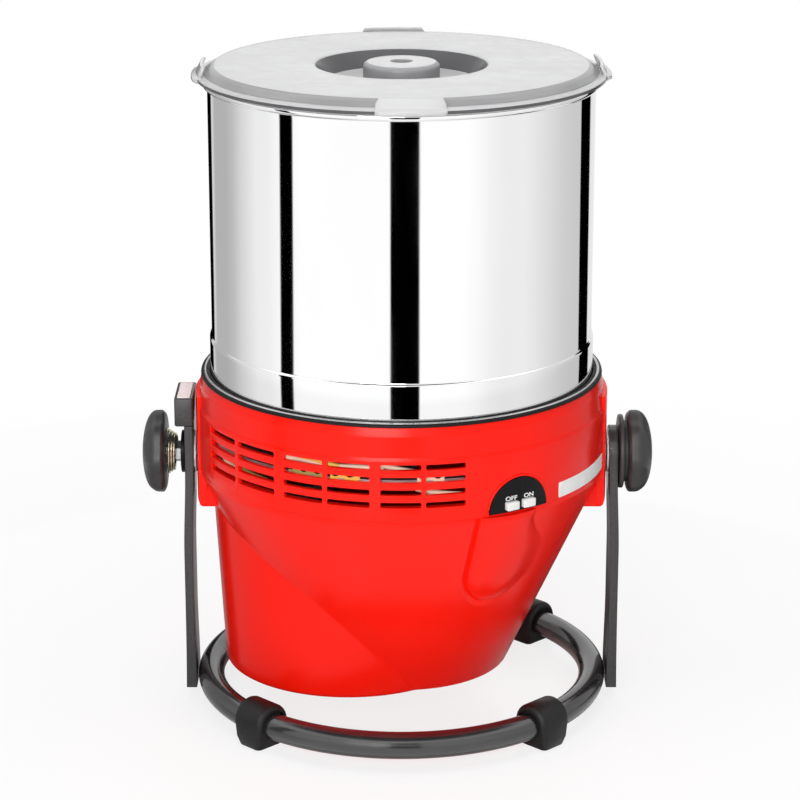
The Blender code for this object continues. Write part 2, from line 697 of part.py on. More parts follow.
def ring_cutter():
    """The ring tube with the feet's seating gap, to bore the feet with."""
    bpy.ops.mesh.primitive_torus_add(
        major_radius=RING_RADIUS, minor_radius=RING_TUBE_RADIUS + GAP,
        major_segments=FINE, minor_segments=10, location=(0, 0, RING_HEIGHT))
    cutter = bpy.context.object
    cutter.name = "ring_bore"
    cutter.users_collection[0].objects.unlink(cutter)
    CUTTERS.objects.link(cutter)
    cutter.hide_render = True
    cutter.display_type = "WIRE"
    return cutter


def make_feet():
    """Rubber collars on the ring, flat where they stand on the table."""
    corners = [
        (-FOOT_HALF_WIDTH, RING_HEIGHT - RING_TUBE_RADIUS, 0),
        (-FOOT_SOLE_HALF_WIDTH, 0, FOOT_SOLE_EDGE),
        (FOOT_SOLE_HALF_WIDTH, 0, FOOT_SOLE_EDGE),
        (FOOT_HALF_WIDTH, RING_HEIGHT - RING_TUBE_RADIUS, 0),
    ]
    arch = arc((0, FOOT_TOP - FOOT_HALF_WIDTH), FOOT_HALF_WIDTH, 0, math.pi, 8)
    outline = filleted(corners, closed=False) + arch
    bore = ring_cutter()
    places = {
        "foot_front_right": FOOT_AZIMUTH,
        "foot_rear_right": math.pi - FOOT_AZIMUTH,
        "foot_rear_left": math.pi + FOOT_AZIMUTH,
        "foot_front_left": -FOOT_AZIMUTH,
    }
    across = Matrix.Rotation(math.radians(90), 4, "Y")
    for name, azimuth in places.items():
        frame = facing(azimuth, RING_RADIUS, 0) @ across
        combine(plate(name, [outline], FOOT_LENGTH, "rubber", frame), bore)


def make_upright(name, side, top, rounded):
    """A flat bar from the ring to above the pivot, its outer face spreading downward."""
    half = UPRIGHT_WIDTH / 2
    corner = half if rounded else UPRIGHT_EDGE
    corners = [
        (-half, UPRIGHT_BOTTOM, UPRIGHT_EDGE),
        (half, UPRIGHT_BOTTOM, UPRIGHT_EDGE),
        (half, UPRIGHT_BEND_HEIGHT, 0),
        (half, top, corner),
        (-half, top, corner),
        (-half, UPRIGHT_BEND_HEIGHT, 0),
    ]
    outline = filleted(corners, steps=5)
    bar_object = plate(name, [outline], UPRIGHT_THICKNESS, "dark_coating", FACING_X)
    mesh = bar_object.data
    mesh.transform(bar_object.matrix_world)
    bar_object.matrix_world = Matrix.Identity(4)
    touching_ring = RING_RADIUS + RING_TUBE_RADIUS + GAP
    for vertex in mesh.vertices:
        below = max(0, UPRIGHT_BEND_HEIGHT - vertex.co.z) / UPRIGHT_BEND_HEIGHT
        if vertex.co.x > 0:
            vertex.co.x = UPRIGHT_OUTER + UPRIGHT_SPLAY * below
        else:
            vertex.co.x = UPRIGHT_INNER + (touching_ring - UPRIGHT_INNER) * min(1, below)
        vertex.co.x *= side
    if side < 0:
        mesh.flip_normals()
    hole = drill(name + "_hole", BUSH_RADIUS + GAP, UPRIGHT_INNER - OVERRUN,
                 UPRIGHT_OUTER + OVERRUN, SMALL, at_pivot(along(side)))
    combine(bar_object, hole)


def along(side):
    """Rotation that takes +Z to +X, or to -X on the left side."""
    return ALONG_X if side > 0 else ALONG_MINUS_X


def make_block():
    """Block on top of the left upright, with a pale pad."""
    half = BLOCK_WIDTH / 2
    top = BLOCK_BOTTOM + BLOCK_HEIGHT - PAD_THICKNESS
    box("stop_block", (-BLOCK_OUTER, -half, BLOCK_BOTTOM), (-BLOCK_INNER, half, top - GAP),
        "dark_coating", BLOCK_EDGE)
    box("stop_block_pad", (PAD_MARGIN - BLOCK_OUTER, PAD_MARGIN - half, top),
        (-BLOCK_INNER - PAD_MARGIN, half - PAD_MARGIN, top + PAD_THICKNESS), "pale_pad")


def make_pivots():
    """Bushes, washers, studs and the lock spring on the tilt axis."""
    washer_in = LUG_PAD_REACH + GAP
    for side, word in ((-1, "left"), (1, "right")):
        turn = at_pivot(along(side))
        sleeve("pivot_bush_" + word, STUD_RADIUS + GAP, BUSH_RADIUS, UPRIGHT_INNER,
               UPRIGHT_OUTER, "white_plastic", SMALL, turn)
        sleeve("thrust_washer_" + word, STUD_RADIUS + GAP, THRUST_WASHER_RADIUS, washer_in,
               UPRIGHT_INNER - GAP, "white_plastic", SMALL, turn)
        knob_start = LEFT_KNOB_START if side < 0 else RIGHT_KNOB_BODY
        end = knob_start + KNOB_BORE_DEPTH - RUNNING_GAP
        head = BRACKET_REACH - BRACKET_THICKNESS - GAP
        profile = [
            (0, head - STUD_HEAD_LENGTH), (STUD_HEAD_RADIUS, head - STUD_HEAD_LENGTH),
            (STUD_HEAD_RADIUS, head), (STUD_RADIUS, head), (STUD_RADIUS, end), (0, end),
        ]
        turned("pivot_stud_" + word, profile, "steel", SLIM, turn)
    turn = at_pivot(along(-1))
    sleeve("clamp_washer_left", STUD_RADIUS + GAP, CLAMP_WASHER_RADIUS, LEFT_WASHER_START,
           LEFT_WASHER_START + CLAMP_WASHER_THICKNESS, "dark_coating", SMALL, turn)
    hexagon = arc((0, 0), NUT_RADIUS, 0, 2 * math.pi, 6)[:-1]
    nut_hole = arc((0, 0), STUD_RADIUS + GAP, 0, 2 * math.pi, SMALL)[:-1]
    nut_middle = Matrix.Translation((0, 0, LEFT_NUT_START + NUT_LENGTH / 2))
    plate("stud_nut_left", [hexagon, nut_hole], NUT_LENGTH, "steel", turn @ nut_middle)
    start = Matrix.Translation((0, 0, LEFT_SPRING_START + SPRING_WIRE / 2 + GAP))
    coil("lock_spring", SPRING_RADIUS, SPRING_WIRE, SPRING_CURLS, SPRING_PITCH, "yellow_zinc",
         turn @ start)


KNOB_LENGTH_SHARES = (0.0, 0.05, 0.14, 0.50, 0.74, 0.90, 1.0)
KNOB_RADIUS_SHARES = (0.86, 0.95, 1.0, 1.0, 0.94, 0.80, 0.52)
KNOB_LOBE_SHARES = (0.0, 0.04, 0.055, 0.055, 0.04, 0.02, 0.0)


def knob_rings(start):
    """Rings of the lobed hand-wheel, from its inner face outward."""
    rings = []
    shares = zip(KNOB_LENGTH_SHARES, KNOB_RADIUS_SHARES, KNOB_LOBE_SHARES)
    for length_share, radius_share, lobe_share in shares:
        ring = []
        for step in range(KNOB_FACETS):
            angle = 2 * math.pi * step / KNOB_FACETS
            lobe = lobe_share * (math.cos(KNOB_LOBES * angle) - 1) / 2
            radius = KNOB_RADIUS * (radius_share + lobe)
            height = start + KNOB_LENGTH * length_share
            ring.append((radius * math.cos(angle), radius * math.sin(angle), height))
        rings.append(ring)
    return rings


def make_knobs():
    """Lock knob on the left and clamp knob with its flange on the right."""
    left = loft("lock_knob_left", knob_rings(LEFT_KNOB_START), "knob_grey", at_pivot(along(-1)))
    right = loft("clamp_knob_right", knob_rings(RIGHT_KNOB_BODY), "knob_grey",
                 at_pivot(along(1)))
    neck_end = RIGHT_KNOB_BODY + OVERRUN
    flange_end = RIGHT_KNOB_START + KNOB_FLANGE_LENGTH
    edge = KNOB_FLANGE_LENGTH / 4
    corners = [
        (0, RIGHT_KNOB_START, 0), (KNOB_FLANGE_RADIUS, RIGHT_KNOB_START, edge),
        (KNOB_FLANGE_RADIUS, flange_end, edge), (KNOB_NECK_RADIUS, flange_end, 0),
        (KNOB_NECK_RADIUS, neck_end, 0), (0, neck_end, 0),
    ]
    flange = turned("knob_flange", filleted(corners), None, ROUND, at_pivot(along(1)))
    combine(right, flange, "UNION")
    for knob, side, low, high in (
            (left, -1, LEFT_KNOB_START, LEFT_KNOB_START + KNOB_BORE_DEPTH),
            (right, 1, RIGHT_KNOB_START, RIGHT_KNOB_BODY + KNOB_BORE_DEPTH)):
        bore = drill(knob.name + "_bore", STUD_RADIUS + GAP, low - OVERRUN, high, SLIM,
                     at_pivot(along(side)))
        combine(knob, bore)


def lug_outline(margin, bottom):
    """Side view of everything below the band and its two hanging lugs, in (y, z)."""
    reach = COLLAR_RADIUS + 2 * OVERRUN
    edge = COLLAR_BOTTOM + margin
    foot = LUG_FOOT + margin
    half = LUG_HALF_WIDTH - margin
    narrow = half - LUG_TAPER
    corners = [
        (-reach, edge, 0), (-half, edge, LUG_CORNER / 2), (-narrow, foot, LUG_CORNER),
        (narrow, foot, LUG_CORNER), (half, edge, LUG_CORNER / 2), (reach, edge, 0),
        (reach, bottom, 0), (-reach, bottom, 0),
    ]
    return filleted(corners, steps=2)


def lug_foot_cutter():
    """Ring that rounds the outer edge of the lugs' feet."""
    middle = (LUG_PAD_REACH - LUG_ROUND, LUG_FOOT + LUG_ROUND)
    out = LUG_PAD_REACH + OVERRUN
    low = LUG_FOOT - OVERRUN
    profile = [(middle[0], low), (out, low), (out, middle[1])]
    profile += arc(middle, LUG_ROUND, 0, -math.pi / 2, 2)
    return turned("lug_foot_edge", profile, None, FINE)


def lug_block(name, side, inner, outer, low, high):
    """A block curved round the housing's side, as wide as a lug's pad."""
    middle = 0 if side > 0 else math.pi
    outline = sector(inner, outer, middle - LUG_PAD_HALF_ANGLE, middle + LUG_PAD_HALF_ANGLE, 4)
    return plate(name, [outline], high - low, None, Matrix.Translation((0, 0, (low + high) / 2)))


def make_upper_housing():
    """Red collar: drum mouth, vent band and the two pivot lugs, in one moulding."""
    low = LUG_FOOT - OVERRUN
    corners = [
        (COLLAR_MOUTH_RADIUS, COLLAR_TOP, WALL / 4),
        (COLLAR_SHOULDER_RADIUS - WALL / 2, COLLAR_TOP - WALL / 4, WALL),
        (COLLAR_SHOULDER_RADIUS, COLLAR_SHOULDER_HEIGHT, WALL),
        (COLLAR_RADIUS - COLLAR_LEDGE_STEP, COLLAR_LEDGE_HEIGHT, WALL / 2),
        (COLLAR_RADIUS, COLLAR_LEDGE_HEIGHT - COLLAR_LEDGE_DROP, WALL / 2),
        (COLLAR_RADIUS, low, 0),
        (COLLAR_INNER_RADIUS, low, 0),
        (COLLAR_INNER_RADIUS, COLLAR_SHOULDER_HEIGHT, 0),
        (COLLAR_SHOULDER_RADIUS - WALL, COLLAR_TOP - COLLAR_LIP, 0),
        (COLLAR_MOUTH_RADIUS, COLLAR_TOP - COLLAR_LIP, 0),
    ]
    collar = turned("upper_housing", filleted(corners), "red_housing", FINE)
    for side in (-1, 1):
        pad = lug_block("lug_pad", side, COLLAR_INNER_RADIUS + WALL / 3, LUG_PAD_REACH,
                        low - OVERRUN / 2, LUG_PAD_TOP)
        hole = drill("lug_hole", STUD_RADIUS + GAP, COLLAR_INNER_RADIUS - 2 * WALL,
                     LUG_PAD_REACH + OVERRUN, SMALL, at_pivot(along(side)))
        combine(combine(collar, pad, "UNION"), hole)
    below = plate("band_edge", [lug_outline(0, low - OVERRUN)],
                  2 * (COLLAR_RADIUS + OVERRUN), None, FACING_X)
    combine(collar, below)
    combine(collar, lug_foot_cutter())
    combine(collar, vent_cutter())
    combine(collar, switch_prism("switch_opening", GAP))
    gland_hole = drill("gland_hole", GLAND_RADIUS + GAP, -2 * WALL, 2 * WALL, SLIM,
                       facing(GLAND_AZIMUTH, COLLAR_RADIUS, GLAND_HEIGHT))
    combine(collar, gland_hole)


def vent_cutter():
    """All slots of the vent band as one cutter of separate blocks."""
    shape = bmesh.new()
    for first, last in VENT_GROUPS:
        rib = RIB_WIDTH / COLLAR_RADIUS
        middle = (first + last) / 2
        for low, high in ((first, middle - rib / 2), (middle + rib / 2, last)):
            chord = 2 * COLLAR_RADIUS * math.sin((high - low) / 2)
            for row in range(SLOT_ROWS):
                frame = facing((low + high) / 2, COLLAR_RADIUS, SLOT_TOP - row * SLOT_PITCH)
                size = Matrix.Diagonal((chord, SLOT_HEIGHT, 4 * WALL, 1))
                bmesh.ops.create_cube(shape, size=1, matrix=frame @ size)
    mesh = bpy.data.meshes.new("vent_slots")
    shape.to_mesh(mesh)
    shape.free()
    return link("vent_slots", mesh, None)


def body_profile(radius_at, inset, top, low):
    """Half section of the cone or the can, its wall moved in by inset."""
    corner = BODY_CORNER - inset
    corners = [(0, low, 0), (radius_at(low) - inset, low, corner),
               (radius_at(top) - inset, top, 0), (0, top, 0)]
    return filleted(corners, steps=3)


def make_lower_housing():
    """Red lower body: the drive cone and the motor can in one bucket, open at the top."""
    seam = COLLAR_BOTTOM - GAP
    lip = COLLAR_RADIUS - WALL / 6
    lip_height = CONE_HEIGHT + (lip - CONE_RADIUS) / CONE_SLOPE
    spigot = COLLAR_INNER_RADIUS - GAP
    top = seam + SPIGOT_HEIGHT
    corners = [
        (0, BODY_BOTTOM, 0), (cone_radius(BODY_BOTTOM), BODY_BOTTOM, BODY_CORNER),
        (lip, lip_height, 0), (lip, top, 0), (0, top, 0),
    ]
    body = turned("lower_housing", filleted(corners, steps=3), "red_housing", FINE)
    can_place = Matrix.Translation((CAN_CENTRE_X, 0, 0))
    can_top = seam - CAN_DROP
    can = turned("motor_can", body_profile(can_radius, 0, can_top, BODY_BOTTOM), None, FINE,
                 can_place)
    combine(body, can, "UNION")
    combine(body, finger(), "UNION")
    for side in (-1, 1):
        core = lug_block("lug_core", side, cone_radius(LUG_FOOT) - WALL / 2, spigot, LUG_FOOT,
                         top - SPIGOT_HEIGHT / 2)
        combine(body, core, "UNION")
    floor = BODY_BOTTOM + WALL
    seam_inner = spigot - WALL
    inner = [
        (0, floor, 0), (cone_radius(floor) - WALL, floor, BODY_CORNER - WALL),
        (seam_inner, CONE_HEIGHT + (seam_inner + WALL - CONE_RADIUS) / CONE_SLOPE, 0),
        (seam_inner, top + OVERRUN, 0), (0, top + OVERRUN, 0),
    ]
    combine(body, turned("cone_space", filleted(inner, steps=2), None, FINE))
    combine(body, turned("can_space", body_profile(can_radius, WALL, can_top - WALL, floor),
                         None, FINE, can_place))
    reach = COLLAR_RADIUS + 2 * OVERRUN
    clearance = sleeve("lug_clearance", spigot + GAP / 2, reach,
                       LUG_FOOT - OVERRUN, top + OVERRUN, None, FINE)
    combine(clearance, plate("lug_side", [lug_outline(-GAP, 0)], 2 * reach, None, FACING_X))
    combine(body, clearance)
    half = STUD_RADIUS + GAP
    notch = box("stud_notches", (-reach, -half, PIVOT_HEIGHT - half), (reach, half, top + OVERRUN),
                None)
    combine(body, notch)
    combine(body, switch_prism("spigot_notch", GAP))
    combine(body, floor_slots())


def finger():
    """Raised rounded finger that runs down the cone below the switch."""
    slope = math.atan(CONE_SLOPE)
    length = (FINGER_TOP - FINGER_BOTTOM) / math.cos(slope)
    middle = (FINGER_TOP + FINGER_BOTTOM) / 2
    frame = facing(FINGER_AZIMUTH, cone_radius(middle), middle)
    tilt = Matrix.Rotation(slope, 4, "X")
    size = Matrix.Diagonal((FINGER_RADIUS, length / 2 + FINGER_RADIUS, FINGER_RISE, 1))
    shape = bmesh.new()
    bmesh.ops.create_uvsphere(shape, u_segments=SMALL, v_segments=8, radius=1,
                              matrix=frame @ tilt @ size)
    mesh = bpy.data.meshes.new("finger")
    shape.to_mesh(mesh)
    shape.free()
    return link("finger", mesh, None)


def floor_slots():
    """Air slots in the floor under the fan."""
    shape = bmesh.new()
    for index in range(FLOOR_SLOTS):
        offset = (index - (FLOOR_SLOTS - 1) / 2) * FLOOR_SLOT_PITCH
        frame = Matrix.Translation((MOTOR_X + offset, 0, BODY_BOTTOM))
        size = Matrix.Diagonal((FLOOR_SLOT_WIDTH, FLOOR_SLOT_LENGTH, 4 * WALL, 1))
        bmesh.ops.create_cube(shape, size=1, matrix=frame @ size)
    mesh = bpy.data.meshes.new("floor_slots")
    shape.to_mesh(mesh)
    shape.free()
    return link("floor_slots", mesh, None)


def switch_prism(name, margin):
    """The half-round switch panel's outline, run through the wall."""
    radius = SWITCH_RADIUS + margin
    outline = [(-radius, -margin), (radius, -margin)]
    outline += arc((0, 0), radius, 0, math.pi, SLIM)[1:-1]
    frame = facing(SWITCH_AZIMUTH, COLLAR_RADIUS, SWITCH_BOTTOM)
    return plate(name, [outline], 8 * WALL, None, frame)


def key_box(name, side, margin, proud, depth, finish):
    """A push key, or the window it slides in where margin is given."""
    frame = facing(SWITCH_AZIMUTH, COLLAR_RADIUS, SWITCH_BOTTOM + KEY_BOTTOM)
    half = KEY_WIDTH / 2 + margin
    centre = side * KEY_OFFSET
    low = (centre - half, -margin, proud - depth)
    high = (centre + half, KEY_HEIGHT + margin, proud)
    edge = KEY_PROUD / 8 if finish else 0
    return box(name, low, high, finish, edge, frame)


def make_switch():
    """Half-round black panel in the band, two white push keys and the switch behind them."""
    low = SWITCH_BOTTOM - OVERRUN
    high = SWITCH_BOTTOM + SWITCH_RADIUS + OVERRUN
    panel = sleeve("switch_panel", COLLAR_INNER_RADIUS, COLLAR_RADIUS + SWITCH_PROUD, low, high,
                   "black_plastic", FINE)
    combine(panel, switch_prism("panel_outline", 0), "INTERSECT")
    for side, word in ((-1, "off"), (1, "on")):
        window = key_box("window_" + word, side, GAP, OVERRUN, 8 * WALL, None)
        combine(panel, window)
        key_box("key_" + word, side, 0, KEY_PROUD, KEY_DEPTH, "white_plastic")
    frame = facing(SWITCH_AZIMUTH, COLLAR_RADIUS, SWITCH_BOTTOM)
    front = -WALL - SWITCH_BODY_SETBACK
    half = KEY_OFFSET + KEY_WIDTH / 2 + GAP + SWITCH_BODY_WALL
    body = box("switch_body", (-half, 0, front - SWITCH_BODY_DEPTH),
               (half, SWITCH_BODY_HEIGHT, front), "black_plastic", 0, frame)
    well_depth = KEY_DEPTH + KEY_TRAVEL + GAP + OVERRUN
    for side, word in ((-1, "off"), (1, "on")):
        well = key_box("well_" + word, side, GAP, KEY_PROUD + OVERRUN, well_depth, None)
        combine(body, well)


def make_gland():
    """Open rubber gland in the back of the band."""
    flange = GLAND_FLANGE_RADIUS
    corners = [
        (GLAND_BORE_RADIUS, -2 * WALL, 0), (GLAND_RADIUS, -2 * WALL, 0),
        (GLAND_RADIUS, GAP, 0), (flange, GAP, 0), (flange, GLAND_FLANGE, GLAND_FLANGE / 2),
        (GLAND_BORE_RADIUS, GLAND_FLANGE, 0),
    ]
    turned("cord_gland", filleted(corners), "rubber", SLIM,
           facing(GLAND_AZIMUTH, COLLAR_RADIUS, GLAND_HEIGHT))


def make_seal():
    sleeve("dust_seal", SEAL_INNER_RADIUS, COLLAR_SHOULDER_RADIUS - WALL - GAP,
           COLLAR_TOP - COLLAR_LIP - GAP - SEAL_HEIGHT, COLLAR_TOP - COLLAR_LIP - GAP, "rubber",
           FINE)


def sector(inner, outer, first, last, steps):
    """Outline of a ring sector."""
    points = arc((0, 0), outer, first, last, steps)
    return points + arc((0, 0), inner, last, first, steps)


def make_chassis():
    """Cast plate across the collar with the shaft hub and a pivot bracket at each side."""
    rim = arc((0, 0), CHASSIS_RADIUS, 0, 2 * math.pi, FINE)[:-1]
    windows = []
    for first, last in CHASSIS_WINDOWS:
        windows.append(sector(CHASSIS_WINDOW_INNER, CHASSIS_WINDOW_OUTER, first, last, 3))
    middle = CHASSIS_HEIGHT + CHASSIS_THICKNESS / 2
    chassis = plate("chassis", [rim] + windows, CHASSIS_THICKNESS, "cast_aluminium",
                    Matrix.Translation((0, 0, middle)))
    hub = bar("chassis_hub", CHASSIS_HUB_RADIUS, CHASSIS_HEIGHT - CHASSIS_HUB_DROP,
              CHASSIS_TOP + CHASSIS_HUB_RISE, None)
    combine(chassis, hub, "UNION")
    half = BRACKET_WIDTH / 2
    for side, word in ((-1, "left"), (1, "right")):
        near, far = sorted((side * BRACKET_REACH, side * (BRACKET_REACH - BRACKET_THICKNESS)))
        bracket = box("bracket_" + word, (near, -half, BRACKET_BOTTOM),
                      (far, half, middle), None)
        combine(chassis, bracket, "UNION", "MANIFOLD")
        hole = drill("bracket_hole_" + word, STUD_RADIUS + GAP,
                     BRACKET_REACH - BRACKET_THICKNESS - OVERRUN, BRACKET_REACH + OVERRUN,
                     SMALL, at_pivot(along(side)))
        combine(chassis, hole, "DIFFERENCE", "MANIFOLD")
    bore = drill("shaft_bore", CENTRE_SHAFT_RADIUS + GAP, CHASSIS_HEIGHT - 2 * CHASSIS_HUB_DROP,
                 CHASSIS_TOP + CHASSIS_HUB_DROP)
    combine(chassis, bore)
    motor_hole = drill("motor_shaft_hole", MOTOR_SHAFT_RADIUS + GAP, CHASSIS_HEIGHT - OVERRUN,
                       CHASSIS_TOP + OVERRUN, SMALL, Matrix.Translation((MOTOR_X, 0, 0)))
    combine(chassis, motor_hole)


def make_centre_shaft():
    """Fixed shaft up the middle, threaded above the roller holder."""
    low = CHASSIS_HEIGHT - CHASSIS_HUB_DROP
    corners = [
        (0, low, 0), (CENTRE_SHAFT_RADIUS, low, 0), (CENTRE_SHAFT_RADIUS, HOLDER_TOP, 0),
        (CENTRE_THREAD_RADIUS, HOLDER_TOP, 0), (CENTRE_THREAD_RADIUS, CENTRE_SHAFT_TOP, 0),
        (0, CENTRE_SHAFT_TOP, 0),
    ]
    turned("centre_shaft", filleted(corners), "steel", SMALL)


def make_motor():
    """Motor hung under the chassis: laminated stator, windings, rotor, end shield and fan."""
    place = Matrix.Translation((MOTOR_X, 0, 0))
    half = STATOR_SIDE / 2
    square = filleted([(x * half, y * half, STATOR_CORNER)
                       for x, y in ((-1, -1), (1, -1), (1, 1), (-1, 1))], steps=2)
    stud_at = half - MOTOR_STUD_INSET
    stud_places = ((-stud_at, -stud_at), (stud_at, stud_at))
    stud_holes = [arc(spot, MOTOR_STUD_RADIUS + GAP, 0, 2 * math.pi, 12)[:-1]
                  for spot in stud_places]
    bore = arc((0, 0), ROTOR_RADIUS + GAP, 0, 2 * math.pi, MEDIUM)[:-1]
    middle = Matrix.Translation((MOTOR_X, 0, STATOR_BOTTOM + STATOR_HEIGHT / 2))
    plate("motor_stator", [square, bore] + stud_holes, STATOR_HEIGHT, "laminations", middle)
    shaft_hole = arc((0, 0), MOTOR_SHAFT_RADIUS + GAP, 0, 2 * math.pi, SLIM)[:-1]
    shield_middle = Matrix.Translation((MOTOR_X, 0, SHIELD_HEIGHT + SHIELD_THICKNESS / 2))
    plate("motor_end_shield", [square, shaft_hole] + stud_holes, SHIELD_THICKNESS,
          "cast_aluminium", shield_middle)
    for (x, y), word in zip(stud_places, ("front", "rear")):
        bar("motor_stud_" + word, MOTOR_STUD_RADIUS, SHIELD_HEIGHT - SHIELD_THICKNESS,
            CHASSIS_HEIGHT - GAP, "steel", 12, Matrix.Translation((MOTOR_X + x, y, 0)))
    stator_top = STATOR_BOTTOM + STATOR_HEIGHT
    edge = WINDING_HEIGHT / 4
    for word, low in (("upper", stator_top + GAP),
                      ("lower", STATOR_BOTTOM - GAP - WINDING_HEIGHT)):
        corners = [
            (ROTOR_RADIUS + RUNNING_GAP, low, edge), (WINDING_RADIUS, low, edge),
            (WINDING_RADIUS, low + WINDING_HEIGHT, edge),
            (ROTOR_RADIUS + RUNNING_GAP, low + WINDING_HEIGHT, edge),
        ]
        turned("windings_" + word, filleted(corners), "copper", MEDIUM, place)
    rotor = [
        (0, MOTOR_SHAFT_BOTTOM), (MOTOR_SHAFT_RADIUS, MOTOR_SHAFT_BOTTOM),
        (MOTOR_SHAFT_RADIUS, STATOR_BOTTOM), (ROTOR_RADIUS, STATOR_BOTTOM),
        (ROTOR_RADIUS, stator_top), (MOTOR_SHAFT_RADIUS, stator_top),
        (MOTOR_SHAFT_RADIUS, PULLEY_HIGH + GAP), (0, PULLEY_HIGH + GAP),
    ]
    turned("motor_rotor", rotor, "laminations", MEDIUM, place)
    make_fan(place)
    pulley = pulley_rim(SMALL_PULLEY_RADIUS, MOTOR_SHAFT_RADIUS + GAP)
    turned("motor_pulley", pulley, "cast_aluminium", MEDIUM, place)


def pulley_rim(radius, bore):
    """Flanged flat-belt pulley from its bore outward."""
    flange = radius + PULLEY_FLANGE
    return [
        (bore, PULLEY_LOW), (flange, PULLEY_LOW), (flange, BELT_BOTTOM - GAP),
        (radius, BELT_BOTTOM - GAP), (radius, BELT_TOP + GAP), (flange, BELT_TOP + GAP),
        (flange, PULLEY_HIGH), (bore, PULLEY_HIGH),
    ]


def make_fan(place):
    """Fan on the lower end of the motor shaft: a plate with straight blades under it."""
    top = FAN_BOTTOM + FAN_HEIGHT
    fan = bar("cooling_fan", FAN_RADIUS, top - FAN_PLATE, top, "black_plastic", ROUND, place)
    hub = bar("fan_hub", FAN_HUB_RADIUS, FAN_BOTTOM, top - FAN_PLATE / 2, None, SMALL, place)
    combine(fan, hub, "UNION")
    shape = bmesh.new()
    length = FAN_RADIUS - FAN_HUB_RADIUS
    for blade in range(FAN_BLADES):
        turn = Matrix.Rotation(2 * math.pi * blade / FAN_BLADES, 4, "Z")
        reach = FAN_HUB_RADIUS + length / 2 - FAN_PLATE
        middle = Matrix.Translation((reach, 0, (FAN_BOTTOM + top - FAN_PLATE / 2) / 2))
        size = Matrix.Diagonal((length, FAN_PLATE, FAN_HEIGHT - FAN_PLATE / 2, 1))
        bmesh.ops.create_cube(shape, size=1, matrix=turn @ middle @ size)
    mesh = bpy.data.meshes.new("fan_blades")
    shape.to_mesh(mesh)
    shape.free()
    combine(fan, link("fan_blades", mesh, None, place), "UNION")
    bore = drill("fan_bore", MOTOR_SHAFT_RADIUS + GAP, FAN_BOTTOM - OVERRUN, top + OVERRUN,
                 SMALL, place)
    combine(fan, bore)


def belt_loop(offset):
    """Outline round both pulleys, offset from the wheels' running faces."""
    large = LARGE_PULLEY_RADIUS + offset
    small = SMALL_PULLEY_RADIUS + offset
    lean = math.acos((large - small) / abs(MOTOR_X))
    around_small = arc((MOTOR_X, 0), small, math.pi - lean, math.pi + lean, 8)
    around_large = arc((0, 0), large, math.pi + lean, 3 * math.pi - lean, 24)
    return around_small + around_large


def make_belt():
    middle = (BELT_BOTTOM + BELT_TOP) / 2
    plate("drive_belt", [belt_loop(GAP + BELT_THICKNESS), belt_loop(GAP)], BELT_WIDTH, "belt",
          Matrix.Translation((0, 0, middle)))


def make_drum_drive():
    """Large pulley on the hub bearing, and the socket that turns the drum."""
    bore = BEARING_RADIUS + GAP
    flange = LARGE_PULLEY_RADIUS + PULLEY_FLANGE
    rim_inner = LARGE_PULLEY_RADIUS - PULLEY_RIM
    web_low = (PULLEY_LOW + PULLEY_HIGH - PULLEY_WEB) / 2
    web_high = web_low + PULLEY_WEB
    profile = [
        (bore, PULLEY_LOW), (PULLEY_HUB_RADIUS, PULLEY_LOW), (PULLEY_HUB_RADIUS, web_low),
        (rim_inner, web_low), (rim_inner, PULLEY_LOW), (flange, PULLEY_LOW),
        (flange, BELT_BOTTOM - GAP), (LARGE_PULLEY_RADIUS, BELT_BOTTOM - GAP),
        (LARGE_PULLEY_RADIUS, BELT_TOP + GAP), (flange, BELT_TOP + GAP), (flange, PULLEY_HIGH),
        (rim_inner, PULLEY_HIGH), (rim_inner, web_high), (PULLEY_HUB_RADIUS, web_high),
        (PULLEY_HUB_RADIUS, PULLEY_HUB_TOP), (bore, PULLEY_HUB_TOP),
    ]
    turned("drive_pulley", profile, "cast_aluminium", ROUND)
    sleeve("hub_bearing", CENTRE_SHAFT_RADIUS + GAP, BEARING_RADIUS, BEARING_BOTTOM,
           BEARING_BOTTOM + BEARING_HEIGHT, "steel")
    inner = PULLEY_HUB_RADIUS + GAP
    sleeve("drum_drive_socket", inner, inner + SOCKET_WALL, web_high + GAP, DRUM_FLOOR - GAP,
           "cast_aluminium", ROUND)


def make_drum():
    """Mirror-steel drum: rolled bead, plain wall, step and a slightly wider skirt."""
    inside = DRUM_RADIUS - DRUM_SHEET
    floor_top = DRUM_FLOOR + DRUM_SHEET
    hole = PILLAR_FLANGE_RADIUS - SOCKET_WALL
    bead_join = math.asin((DRUM_RADIUS - BEAD_CENTRE_RADIUS) / BEAD_RADIUS)
    bead = arc((BEAD_CENTRE_RADIUS, BEAD_HEIGHT), BEAD_RADIUS,
               math.pi + bead_join, -math.pi / 2 + bead_join, 6)
    profile = [(inside, BEAD_HEIGHT)] + bead[1:-1]
    profile += [
        (DRUM_RADIUS, BEAD_HEIGHT - BEAD_RADIUS),
        (DRUM_RADIUS, DRUM_STEP_HEIGHT + DRUM_STEP / 2),
        (DRUM_SKIRT_RADIUS, DRUM_STEP_HEIGHT - DRUM_STEP / 2),
    ]
    skirt = filleted([
        (DRUM_SKIRT_RADIUS, DRUM_STEP_HEIGHT - DRUM_STEP, 0),
        (DRUM_SKIRT_RADIUS, DRUM_BOTTOM, DRUM_CORNER / 2),
        (inside - DRUM_CORNER, DRUM_BOTTOM, 0),
    ], closed=False, steps=2)
    profile += skirt
    profile += [
        (inside - DRUM_CORNER, DRUM_FLOOR), (hole, DRUM_FLOOR), (hole, floor_top),
    ]
    profile += filleted([
        (hole, floor_top, 0), (inside, floor_top, DRUM_CORNER), (inside, BEAD_HEIGHT, 0),
    ], closed=False, steps=2)[1:-1]
    turned("drum", profile, "mirror_steel", FINE)


